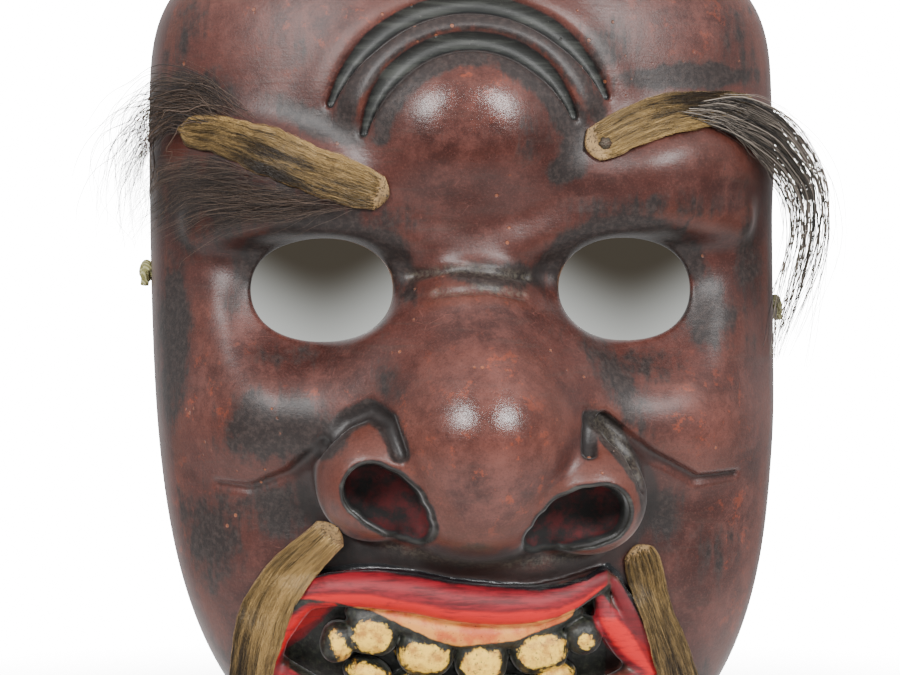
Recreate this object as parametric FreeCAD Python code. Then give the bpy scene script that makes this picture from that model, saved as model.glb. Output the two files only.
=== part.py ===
import FreeCAD, Part
import math
import os

# A carved wooden noh mask, in millimetres.
# The flat back rim lies in the plane y = 0 and the face looks towards -Y, with +Z up.
# The origin is on the back rim at the middle of the chin's wall.

V = FreeCAD.Vector

# Outline of the mask: a superellipse whose widest line is at the brow. The hand-carved outline leans a
# little to the right, more towards the chin.
HALF_WIDTH = 78.5
LEAN_AT_BROW = 1.0
LEAN_AT_CHIN = 4.0
LEAN_POWER = 1.5
WIDEST_Z = 160.0
TOP_RISE = 55.0
CHIN_DROP = 164.5
SIDE_POWER = 2.5
END_POWER = 4.2
OUTLINE_POINTS = 64

# Wall and dome. The rim margin keeps a short straight wall behind the dome.
WALL = 9.0
DOME_DEPTH = 49.0
DOME_POWER = 0.42
RIM_MARGIN = 1.06
EDGE_SOFTNESS = 0.04
HOLLOW_DEPTH = 38.0
NOSE_POCKET = (0.0, 94.0, 13.0, 26.0, 9.0, 1.3)
MAX_DEPTH = 95.0

# The carved surface is sampled on this grid, wider than the outline on every side.
GRID_HALF_WIDTH = 84.0
GRID_BOTTOM = -14.0
GRID_TOP = 224.0
GRID_COLUMNS = 64
GRID_ROWS = 92

# Rounded masses: centre x, centre z, radius in x, radius in z, height (negative is carved in), and how
# flat-topped the mass is.
MASSES = {
    "left_eye_socket": (-37.0, 122.0, 25.0, 18.0, -8.5, 1.3),
    "right_eye_socket": (37.0, 122.0, 25.0, 18.0, -8.5, 1.3),
    "left_brow": (-50.0, 147.0, 26.0, 12.0, 8.0, 1.3),
    "right_brow": (52.0, 150.0, 25.0, 13.0, 9.0, 1.3),
    "brow_bulb": (-1.5, 160.0, 23.0, 19.0, 11.0, 1.5),
    "glabella": (1.5, 124.0, 14.0, 8.0, -5.0, 1.3),
    "nose_bridge": (0.0, 110.0, 12.0, 15.0, 10.0, 1.3),
    "nose_flanks": (0.0, 88.0, 31.0, 26.0, 12.0, 1.3),
    "nose_ball": (1.0, 87.0, 21.0, 20.0, 17.0, 1.8),
    "left_wing": (-24.0, 75.0, 14.0, 12.0, 14.0, 1.6),
    "right_wing": (27.0, 72.0, 15.0, 12.0, 14.0, 1.6),
    "left_cheek": (-52.0, 92.0, 19.0, 16.0, 9.0, 1.3),
    "right_cheek": (53.0, 90.0, 20.0, 16.0, 9.0, 1.3),
    "mouth": (-4.0, 38.0, 33.0, 9.0, -7.0, 1.3),
    "chin": (0.0, 6.0, 26.0, 10.0, 9.0, 1.3),
}

# Upper teeth, biting over the lower lip: centre x, centre z, radius in x, radius in z.
TEETH = [
    (-33.0, 37.0, 5.0, 6.0),
    (-22.5, 40.0, 6.5, 6.0),
    (-9.5, 36.5, 6.5, 6.0),
    (3.5, 35.0, 6.5, 6.0),
    (17.0, 36.5, 6.5, 6.0),
]
TOOTH_HEIGHT = 6.0
TOOTH_SHARPNESS = 2.0

# Rolls and grooves that follow a path: points, half width, height.
UPPER_LIP = [(-44.0, 42.0), (-36.0, 49.0), (-20.0, 50.5), (-4.0, 49.0), (18.0, 50.5), (34.0, 50.0), (41.0, 42.0)]
LOWER_LIP = [(-47.0, 37.0), (-34.0, 27.0), (-5.0, 22.5), (24.0, 27.0), (43.0, 36.0)]
LEFT_CREASE = [(-24.0, 95.0), (-34.0, 86.0), (-43.0, 78.0), (-57.0, 75.0)]
RIGHT_CREASE = [(30.0, 91.0), (42.0, 81.0), (54.0, 75.0), (64.0, 76.0)]
ROLLS = [
    (UPPER_LIP, 4.5, 7.0),
    (LOWER_LIP, 5.5, 9.0),
    (LEFT_CREASE, 3.0, -3.0),
    (RIGHT_CREASE, 3.0, -3.0),
]

# Two arched grooves over the brow bulb, with a raised roll between them.
ARCH_CENTRE = (-0.5, 156.0)
INNER_GROOVE_RADIUS = 25.5
OUTER_GROOVE_RADIUS = 35.0
GROOVE_HALF_WIDTH = 2.6
GROOVE_DEPTH = 3.2
ARCH_ROLL_HEIGHT = 2.6
ARCH_ROLL_HALF_WIDTH = 4.5
ARCH_HALF_SPREAD = math.radians(78.0)
ARCH_FADE = math.radians(3.0)

# Openings.
EYE_X = 36.3
EYE_Z = 122.0
EYE_RADIUS_X = 17.2
EYE_RADIUS_Z = 12.5
NOSTRILS = [(-21.0, 73.0, 10.5, 7.0, -38.0), (23.0, 68.5, 11.5, 7.0, 24.0)]
NOSTRIL_DEPTH = 12.0

# Fur-on hide strips: centre line with the half width at each point.
HIDE_THICKNESS = 1.6
HIDES = {
    "brow_hide_left": [(-21.0, 143.5, 2.6), (-26.0, 146.0, 4.1), (-43.0, 153.0, 4.1), (-58.0, 158.0, 3.4),
                       (-67.0, 160.5, 2.2)],
    "brow_hide_right": [(29.5, 155.0, 2.6), (34.0, 157.5, 4.1), (45.0, 163.0, 4.5), (57.0, 166.5, 4.1),
                        (70.0, 168.0, 2.6)],
    "moustache_hide_left": [(-33.5, 65.0, 3.6), (-40.5, 55.5, 4.3), (-48.5, 43.5, 4.7), (-53.0, 32.0, 4.6),
                            (-54.5, 22.0, 3.4)],
    "moustache_hide_right": [(40.5, 57.0, 3.3), (44.0, 48.5, 3.9), (48.5, 38.5, 4.3), (53.0, 29.5, 4.3),
                             (55.0, 22.0, 3.2)],
}

# Long hair that grows from the brow hides: x, z, height above the face, radius.
HAIR_TUFTS = {
    "brow_hair_left": [(-34.0, 157.5, 3.0, 2.0), (-50.0, 166.0, 3.5, 4.5), (-66.0, 165.0, 4.0, 6.0),
                       (-77.5, 154.0, 6.0, 5.5), (-81.0, 136.0, 7.0, 3.0)],
    "brow_hair_right": [(40.0, 168.5, 3.0, 2.0), (55.0, 174.5, 3.5, 4.5), (72.0, 171.0, 5.0, 6.0),
                        (84.0, 157.0, 9.0, 6.5), (87.0, 138.0, 11.0, 5.0), (84.0, 113.0, 9.0, 2.0)],
}
HAIR_FREE_DEPTH = 18.0
HAIR_FLATNESS = 0.7
HAIR_RING_POINTS = 10

# Nail that fixes the inner end of the right brow hide.
NAIL_X = 33.3
NAIL_Z = 157.0
NAIL_HEAD_RADIUS = 1.15
NAIL_HEAD_HEIGHT = 0.7
NAIL_SHANK_RADIUS = 0.6
NAIL_LENGTH = 7.0

# Tie cord: it hangs behind the face between two side holes, held by a stopper knot outside each.
CORD_DIAMETER = 3.0
CORD_HOLE_RADIUS = 2.3
CORD_Y = -8.5
LEFT_HOLE_Z = 127.0
RIGHT_HOLE_Z = 118.5
CORD_ROUTE = [
    (-77.4, -8.5, 127.0),
    (-67.5, -8.5, 126.4),
    (-60.8, -8.7, 119.0),
    (-58.4, -9.2, 104.0),
    (-52.5, -10.2, 81.0),
    (-43.0, -11.4, 59.5),
    (-28.5, -12.3, 41.5),
    (-9.5, -12.8, 31.5),
    (12.0, -12.6, 30.5),
    (31.0, -11.8, 39.5),
    (44.5, -10.8, 56.0),
    (53.5, -9.9, 76.5),
    (59.0, -9.1, 98.0),
    (62.4, -8.7, 110.5),
    (69.5, -8.5, 117.9),
    (80.4, -8.5, 118.5),
]
ARC_SHARE = 0.45
KNOT_RADIUS = 3.3
KNOT_INNER_RADIUS = 2.8
KNOT_OUTER_RADIUS = 1.8
KNOT_LENGTH = 3.2


def lean(z):
    """How far the outline's middle lies to the right of x = 0."""
    below = max(0.0, WIDEST_Z - z) / CHIN_DROP
    return LEAN_AT_BROW + LEAN_AT_CHIN * below ** LEAN_POWER


def outline_level(x, z, inset=0.0):
    """Superellipse level: 1 on the outline, less inside it."""
    rise = TOP_RISE if z > WIDEST_Z else CHIN_DROP
    across = abs(x - lean(z)) / (HALF_WIDTH - inset)
    along = abs(z - WIDEST_Z) / (rise - inset)
    return across ** SIDE_POWER + along ** END_POWER


def outline_point(angle, inset=0.0):
    """Point of the outline at a parameter angle, counted from +X towards +Z."""
    rise = TOP_RISE if math.sin(angle) > 0 else CHIN_DROP
    across = abs(math.cos(angle)) ** (2.0 / SIDE_POWER)
    along = abs(math.sin(angle)) ** (2.0 / END_POWER)
    x = math.copysign(across * (HALF_WIDTH - inset), math.cos(angle))
    z = WIDEST_Z + math.copysign(along * (rise - inset), math.sin(angle))
    return x + lean(z), z


def dome(x, z, depth, inset=0.0):
    """Height of a plain dome in front of the back plane."""
    margin = RIM_MARGIN - outline_level(x, z, inset)
    kept = 0.5 * (margin + math.sqrt(margin * margin + EDGE_SOFTNESS * EDGE_SOFTNESS))
    return depth * kept ** DOME_POWER


def mass(x, z, centre_x, centre_z, radius_x, radius_z, height, sharpness):
    """Height that one rounded mass adds."""
    square = ((x - centre_x) / radius_x) ** 2 + ((z - centre_z) / radius_z) ** 2
    return height * math.exp(-(square ** sharpness))


def path_distance(x, z, path):
    """Distance from a point of the face to a path of straight runs."""
    best = float("inf")
    for (ax, az), (bx, bz) in zip(path, path[1:]):
        run_x = bx - ax
        run_z = bz - az
        share = ((x - ax) * run_x + (z - az) * run_z) / (run_x * run_x + run_z * run_z)
        share = min(1.0, max(0.0, share))
        best = min(best, math.hypot(x - ax - share * run_x, z - az - share * run_z))
    return best


def arches(x, z):
    """Height of the two arched grooves and of the roll between them."""
    dx = x - ARCH_CENTRE[0]
    dz = z - ARCH_CENTRE[1]
    radius = math.hypot(dx, dz)
    spread = abs(math.atan2(dx, dz))
    strength = 1.0 / (1.0 + math.exp((spread - ARCH_HALF_SPREAD) / ARCH_FADE))
    middle = 0.5 * (INNER_GROOVE_RADIUS + OUTER_GROOVE_RADIUS)
    height = ARCH_ROLL_HEIGHT * math.exp(-((radius - middle) / ARCH_ROLL_HALF_WIDTH) ** 2)
    for groove in (INNER_GROOVE_RADIUS, OUTER_GROOVE_RADIUS):
        height -= GROOVE_DEPTH * math.exp(-((radius - groove) / GROOVE_HALF_WIDTH) ** 2)
    return strength * height


def face_height(x, z):
    """Height of the carved face in front of the back plane."""
    height = dome(x, z, DOME_DEPTH)
    for rounded in MASSES.values():
        height += mass(x, z, *rounded)
    for centre_x, centre_z, radius_x, radius_z in TEETH:
        height += mass(x, z, centre_x, centre_z, radius_x, radius_z, TOOTH_HEIGHT, TOOTH_SHARPNESS)
    for path, half_width, rise in ROLLS:
        height += rise * math.exp(-(path_distance(x, z, path) / half_width) ** 2)
    return height + arches(x, z)


def hollow_height(x, z):
    """Height of the hollow behind the face: a plain dome with a pocket behind the nose."""
    return dome(x, z, HOLLOW_DEPTH, WALL) + mass(x, z, *NOSE_POCKET)


def carved_face(height):
    """Smooth face through a height function sampled on the grid."""
    rows = []
    for row in range(GRID_ROWS + 1):
        z = GRID_BOTTOM + (GRID_TOP - GRID_BOTTOM) * row / GRID_ROWS
        line = []
        for column in range(GRID_COLUMNS + 1):
            x = GRID_HALF_WIDTH * (2.0 * column / GRID_COLUMNS - 1.0)
            line.append(V(x, -height(x, z), z))
        rows.append(line)
    surface = Part.BSplineSurface()
    surface.interpolate(rows)
    return surface.toShape()


def outline_prism(inset, back):
    """Prism over the outline, from a plane at y = back to the front of everything."""
    points = []
    for index in range(OUTLINE_POINTS):
        x, z = outline_point(2.0 * math.pi * (index + 0.5) / OUTLINE_POINTS, inset)
        points.append(V(x, back, z))
    curve = Part.BSplineCurve()
    curve.interpolate(points, PeriodicFlag=True)
    face = Part.Face(Part.Wire(curve.toShape()))
    return face.extrude(V(0, -MAX_DEPTH - back, 0))


def block_behind(face):
    """Solid from a carved face back past the rim."""
    return face.extrude(V(0, 2.0 * MAX_DEPTH, 0))


def largest_solid(shape):
    return max(shape.Solids, key=lambda solid: solid.Volume)


def slanted_oval(centre_x, centre_z, radius_x, radius_z, tilt, front, length):
    """Oval cylinder along Y, tilted in the plane of the face by degrees."""
    major = V(math.cos(math.radians(tilt)), 0, math.sin(math.radians(tilt)))
    minor = V(-math.sin(math.radians(tilt)), 0, math.cos(math.radians(tilt)))
    centre = V(centre_x, front, centre_z)
    ellipse = Part.Ellipse(centre + major * radius_x, centre + minor * radius_z, centre)
    face = Part.Face(Part.Wire(ellipse.toShape()))
    return face.extrude(V(0, length, 0))


def hide_prism(stations):
    """Prism along Y over a strip given by its centre line and half widths."""
    left = []
    right = []
    for index, (x, z, half_width) in enumerate(stations):
        before = stations[max(0, index - 1)]
        after = stations[min(len(stations) - 1, index + 1)]
        run_x = after[0] - before[0]
        run_z = after[1] - before[1]
        length = math.hypot(run_x, run_z)
        offset = V(-run_z / length * half_width, 0, run_x / length * half_width)
        left.append(V(x, -MAX_DEPTH, z) + offset)
        right.append(V(x, -MAX_DEPTH, z) - offset)
    sides = []
    for side in (left, right[::-1]):
        curve = Part.BSplineCurve()
        curve.interpolate(side)
        sides.append(curve.toShape())
    ends = [Part.makeLine(left[-1], right[-1]), Part.makeLine(right[0], left[0])]
    wire = Part.Wire([sides[0], ends[0], sides[1], ends[1]])
    return Part.Face(wire).extrude(V(0, MAX_DEPTH, 0))


def hide_strip(face, stations):
    """Strip of even thickness lying on the carved face."""
    patch = face.common(hide_prism(stations))
    return largest_solid(patch.Faces[0].extrude(V(0, -HIDE_THICKNESS, 0)))


def hair_tuft(stations, kept_out):
    """Tapered tuft of hair that leaves the face and hangs past its edge."""
    centres = []
    for x, z, lift, radius in stations:
        centres.append(V(x, -max(face_height(x, z), HAIR_FREE_DEPTH) - lift, z))
    rings = []
    for index, centre in enumerate(centres):
        before = centres[max(0, index - 1)]
        after = centres[min(len(centres) - 1, index + 1)]
        sideways = (after - before).cross(V(0, 1, 0)).normalize() * stations[index][3]
        forward = V(0, -1, 0) * stations[index][3] * HAIR_FLATNESS
        points = []
        for step in range(HAIR_RING_POINTS):
            turn = 2.0 * math.pi * step / HAIR_RING_POINTS
            points.append(centre + sideways * math.cos(turn) + forward * math.sin(turn))
        ring = Part.BSplineCurve()
        ring.interpolate(points, PeriodicFlag=True)
        rings.append(Part.Wire(ring.toShape()))
    tuft = Part.makeLoft(rings, True, False)
    if tuft.Volume < 0:
        tuft = tuft.reversed()
    for shape in kept_out:
        tuft = tuft.cut(shape)
    return largest_solid(tuft)


def cord_tube(route, radius):
    """Tube along straight runs joined by tangent arcs. Returns the tube and its centre length."""
    points = [V(*point) for point in route]
    edges = []
    start = points[0]
    for index in range(1, len(points) - 1):
        corner = points[index]
        run_in = points[index - 1] - corner
        run_out = points[index + 1] - corner
        setback = ARC_SHARE * min(run_in.Length, run_out.Length)
        half_turn = 0.5 * (math.pi - run_in.getAngle(run_out))
        bend = setback / math.tan(half_turn)
        print("cord radius at point", index, "is", round(bend, 1), "mm")
        arc_start = corner + V(run_in).normalize() * setback
        arc_end = corner + V(run_out).normalize() * setback
        inward = (V(run_in).normalize() + V(run_out).normalize()).normalize()
        middle = corner + inward * (bend / math.cos(half_turn) - bend)
        edges.append(Part.LineSegment(start, arc_start).toShape())
        edges.append(Part.Arc(arc_start, middle, arc_end).toShape())
        start = arc_end
    edges.append(Part.LineSegment(start, points[-1]).toShape())
    path = Part.Wire(edges)
    section = Part.Wire(Part.makeCircle(radius, points[0], points[1] - points[0]))
    return path.makePipeShell([section], True, False), path.Length


def stopper_knot(route_end, outward):
    """Round knot that sits against the outside of a side hole."""
    ring = [
        (0.0, 0.0),
        (0.0, KNOT_INNER_RADIUS),
        (0.5 * KNOT_LENGTH, KNOT_RADIUS),
        (KNOT_LENGTH, KNOT_OUTER_RADIUS),
        (KNOT_LENGTH, 0.0),
    ]
    profile = [V(route_end[0] + outward * along, route_end[1], route_end[2] + radius) for along, radius in ring]
    crown = Part.Arc(profile[1], profile[2], profile[3]).toShape()
    wire = Part.Wire([
        Part.makeLine(profile[0], profile[1]),
        crown,
        Part.makeLine(profile[3], profile[4]),
        Part.makeLine(profile[4], profile[0]),
    ])
    knot = Part.Face(wire).revolve(V(*route_end), V(outward, 0, 0), 360)
    return largest_solid(knot) if knot.Solids else Part.Solid(knot)


def nail():
    """Nail with a low domed head that presses on the hide."""
    seat = -face_height(NAIL_X, NAIL_Z) - HIDE_THICKNESS
    shank = Part.makeCylinder(NAIL_SHANK_RADIUS, NAIL_LENGTH, V(NAIL_X, seat, NAIL_Z), V(0, 1, 0))
    dome_radius = (NAIL_HEAD_RADIUS ** 2 + NAIL_HEAD_HEIGHT ** 2) / (2.0 * NAIL_HEAD_HEIGHT)
    ball = Part.makeSphere(dome_radius, V(NAIL_X, seat - NAIL_HEAD_HEIGHT + dome_radius, NAIL_Z))
    cap = Part.makeCylinder(NAIL_HEAD_RADIUS, NAIL_HEAD_HEIGHT, V(NAIL_X, seat, NAIL_Z), V(0, -1, 0))
    return shank, ball.common(cap)


def build():
    face = carved_face(face_height)
    block = block_behind(face)
    hollow = outline_prism(WALL, WALL).common(block_behind(carved_face(hollow_height)))
    body = outline_prism(0.0, 0.0).common(block).cut(hollow)
    for side in (-1, 1):
        body = body.cut(slanted_oval(side * EYE_X, EYE_Z, EYE_RADIUS_X, EYE_RADIUS_Z, 0.0, -MAX_DEPTH, 2 * MAX_DEPTH))
    for x, z, radius_x, radius_z, tilt in NOSTRILS:
        floor = -face_height(x, z) + NOSTRIL_DEPTH
        body = body.cut(slanted_oval(x, z, radius_x, radius_z, tilt, floor - MAX_DEPTH, MAX_DEPTH))
    for x, z in ((-HALF_WIDTH - WALL, LEFT_HOLE_Z), (HALF_WIDTH - 1.5 * WALL, RIGHT_HOLE_Z)):
        body = body.cut(Part.makeCylinder(CORD_HOLE_RADIUS, 3 * WALL, V(x, CORD_Y, z), V(1, 0, 0)))
    shank, head = nail()
    nodes = {"mask_body": largest_solid(body.cut(shank))}
    for name, stations in HIDES.items():
        nodes[name] = hide_strip(face, stations)
    nodes["brow_hide_right"] = largest_solid(nodes["brow_hide_right"].cut(shank).cut(head))
    nodes["brow_nail_right"] = largest_solid(shank.fuse(head))
    solid_front = outline_prism(0.0, 0.0).common(block)
    for name, stations in HAIR_TUFTS.items():
        hide = nodes[name.replace("hair", "hide")]
        nodes[name] = hair_tuft(stations, [solid_front, hide])
    tube, length = cord_tube(CORD_ROUTE, 0.5 * CORD_DIAMETER)
    print("cord length", round(length, 1), "mm")
    print("cord volume ratio", round(tube.Volume / (math.pi * (0.5 * CORD_DIAMETER) ** 2 * length), 4))
    nodes["tie_cord"] = tube
    nodes["cord_knot_left"] = stopper_knot(CORD_ROUTE[0], -1)
    nodes["cord_knot_right"] = stopper_knot(CORD_ROUTE[-1], 1)
    return nodes


os.makedirs("parts", exist_ok=True)
for node, shape in build().items():
    print(node, "valid", shape.isValid(), "solids", len(shape.Solids), "volume", round(shape.Volume))
    shape.exportStep(os.path.join("parts", node + ".step"))
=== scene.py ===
import math

import bpy
import numpy as np
import openvdb
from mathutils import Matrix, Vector


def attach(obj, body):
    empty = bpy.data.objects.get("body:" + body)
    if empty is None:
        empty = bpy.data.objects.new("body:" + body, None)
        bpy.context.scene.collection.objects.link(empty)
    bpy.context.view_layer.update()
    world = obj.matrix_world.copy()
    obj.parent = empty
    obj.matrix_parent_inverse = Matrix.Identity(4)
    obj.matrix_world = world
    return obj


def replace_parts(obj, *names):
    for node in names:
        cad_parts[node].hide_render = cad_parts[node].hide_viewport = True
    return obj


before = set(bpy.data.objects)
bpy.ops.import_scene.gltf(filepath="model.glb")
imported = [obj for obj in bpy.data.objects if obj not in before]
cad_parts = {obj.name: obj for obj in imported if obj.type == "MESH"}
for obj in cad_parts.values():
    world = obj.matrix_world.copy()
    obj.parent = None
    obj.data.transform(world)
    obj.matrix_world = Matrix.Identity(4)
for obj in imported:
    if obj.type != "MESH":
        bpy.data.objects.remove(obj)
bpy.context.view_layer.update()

# Lengths in this script are millimetres in the row frame until a mesh is made. A place on the mask is
# (x, p, z), where p is the height in front of the back plane, so that y = -p.
MM = 0.001
rng = np.random.default_rng(7)


# ---------------------------------------------------------------- camera and tie cord

CAMERA_TARGET = (-3.0, 20.0, 110.3)
CAMERA_DISTANCE = 580.0
CAMERA_AZIMUTH = math.radians(-4.3)
CAMERA_LENS = 93.5


def to_metres(x, p, z):
    return Vector((x * MM, -p * MM, z * MM))


def place_object(name, data):
    """New object in the scene with the given data."""
    item = bpy.data.objects.new(name, data)
    bpy.context.scene.collection.objects.link(item)
    return item


def make_camera():
    data = bpy.data.cameras.new("photo_camera")
    data.lens = CAMERA_LENS
    data.sensor_width = 36.0
    data.clip_start = 0.01
    data.clip_end = 20.0
    camera = place_object("photo_camera", data)
    back = Vector((math.sin(CAMERA_AZIMUTH), -math.cos(CAMERA_AZIMUTH), 0.0))
    camera.location = to_metres(*CAMERA_TARGET) + back * CAMERA_DISTANCE * MM
    camera.rotation_euler = (-back).to_track_quat("-Z", "Y").to_euler()
    bpy.context.scene.camera = camera


make_camera()

CORD_DIAMETER = 3.0
CORD_ROUTE = [
    (-77.4, -8.5, 127.0), (-67.5, -8.5, 126.4), (-60.8, -8.7, 119.0), (-58.4, -9.2, 104.0),
    (-52.5, -10.2, 81.0), (-43.0, -11.4, 59.5), (-28.5, -12.3, 41.5), (-9.5, -12.8, 31.5),
    (12.0, -12.6, 30.5), (31.0, -11.8, 39.5), (44.5, -10.8, 56.0), (53.5, -9.9, 76.5),
    (59.0, -9.1, 98.0), (62.4, -8.7, 110.5), (69.5, -8.5, 117.9), (80.4, -8.5, 118.5),
]


def smooth_curve(name, points, diameter):
    """Curve object along a NURBS spline whose control points are given in millimetres."""
    data = bpy.data.curves.new(name, "CURVE")
    data.dimensions = "3D"
    data.bevel_depth = 0.5 * diameter * MM
    data.bevel_resolution = 4
    data.resolution_u = 12
    data.use_fill_caps = True
    spline = data.splines.new("NURBS")
    spline.points.add(len(points) - 1)
    for point, place in zip(spline.points, points):
        point.co = (place[0] * MM, place[1] * MM, place[2] * MM, 1.0)
    spline.order_u = 3
    spline.use_endpoint_u = True
    return place_object(name, data)


tie_cord = smooth_curve("tie_cord_line", CORD_ROUTE, CORD_DIAMETER)


# ---------------------------------------------------------------- clay: a distance field with soft cuts

VOXEL = 0.6
FIELD_LOW = (-82.0, -3.0, -9.0)
FIELD_HIGH = (84.0, 88.0, 220.0)

HALF_WIDTH = 79.0
LEAN_AT_BROW = 1.0
LEAN_AT_CHIN = 4.0
WIDEST_Z = 160.0
TOP_RISE = 55.0
CHIN_DROP = 164.5
SIDE_POWER = 2.5
END_POWER = 4.2
DOME_DEPTH = 49.0
DOME_POWER = 0.42
RIM_MARGIN = 1.06
HOLLOW_DEPTH = 38.0
NOSE_POCKET = (0.0, 94.0, 13.0, 26.0, 9.0)
WALL = 9.0
STEEPEST = 16.0
FLATTEST_OUTLINE = 0.008
DEEPEST_EDGE = -40.0
CELL_MARGIN = 2.0
WELL_ROUNDING = 5.0
EYE_POWER = 2.15
EYE_HALF_HEIGHT = 12.3
LEFT_HOLE = (-72.5, 127.0)
RIGHT_HOLE = (75.5, 118.5)
HOLE_RADIUS = 2.2


def smooth_min(a, b, soft):
    mix = np.maximum(soft - np.abs(a - b), 0.0) / soft
    return np.minimum(a, b) - mix * mix * soft * 0.25


def smooth_max(a, b, soft):
    return -smooth_min(-a, -b, soft)


def outline_level(x, z, inset=0.0):
    """Level of the leaning superellipse outline: 1 on it, less inside it."""
    rise = np.where(z > WIDEST_Z, TOP_RISE, CHIN_DROP) - inset
    lean = LEAN_AT_BROW + LEAN_AT_CHIN * (np.maximum(WIDEST_Z - z, 0.0) / CHIN_DROP) ** 1.5
    across = (np.abs(x - lean) / (HALF_WIDTH - inset)) ** SIDE_POWER
    return across + (np.abs(z - WIDEST_Z) / rise) ** END_POWER


def dome(x, z, depth, inset=0.0):
    margin = RIM_MARGIN - outline_level(x, z, inset)
    kept = 0.5 * (margin + np.sqrt(margin * margin + 0.0016))
    return depth * kept ** DOME_POWER


def turned(x, z, degrees):
    """Places in axes that are turned in the plane of the face."""
    turn = math.radians(degrees)
    return x * math.cos(turn) + z * math.sin(turn), z * math.cos(turn) - x * math.sin(turn)


def mass(x, z, centre_x, centre_z, radius_x, radius_z, height, sharpness=1.3, tilt=0.0):
    """Height that one rounded mass adds to a face."""
    dx, dz = turned(x - centre_x, z - centre_z, tilt)
    return height * np.exp(-(((dx / radius_x) ** 2 + (dz / radius_z) ** 2) ** sharpness))


def hollow_height(x, z):
    """Height of the hollow behind the face, with its pocket behind the nose."""
    return dome(x, z, HOLLOW_DEPTH, WALL) + mass(x, z, *NOSE_POCKET)


def outline_edge(x, z, voxel, inset=0.0):
    """Distance past the outline, below 0 inside it."""
    level = outline_level(x, z, inset)
    grad_x, grad_z = np.gradient(level, voxel)
    return np.maximum((level - 1.0) / np.maximum(np.hypot(grad_x, grad_z), FLATTEST_OUTLINE), DEEPEST_EDGE)


def between_cells(table, u, v):
    """Value between the cells of a table, u along its first axis and v along its second."""
    i = u.astype(int)
    j = v.astype(int)
    s = u - i
    t = v - j
    low = table[i, j] * (1 - s) + table[i + 1, j] * s
    high = table[i, j + 1] * (1 - s) + table[i + 1, j + 1] * s
    return low * (1 - t) + high * t


def path_distance(x, z, path):
    """Distance to a path of straight runs in the plane of the face, less the radius where it gives one."""
    best = np.full(np.broadcast(x, z).shape, 1e3, np.float32)
    for a, b in zip(path, path[1:]):
        run = (b[0] - a[0], b[1] - a[1])
        length = run[0] ** 2 + run[1] ** 2
        share = np.clip(((x - a[0]) * run[0] + (z - a[1]) * run[1]) / length, 0.0, 1.0)
        away = np.hypot(x - a[0] - share * run[0], z - a[1] - share * run[1])
        if len(a) > 2:
            away = away - (a[2] + share * (b[2] - a[2]))
        best = np.minimum(best, away)
    return best


def behind(p, height, voxel):
    """Distance field of all that lies behind a height map, evened out on its slopes."""
    grad_x, grad_z = np.gradient(height, voxel)
    overstated = np.sqrt(1.0 + np.minimum(grad_x ** 2 + grad_z ** 2, STEEPEST))
    return (p - height[:, None, :]) / overstated[:, None, :]


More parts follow.
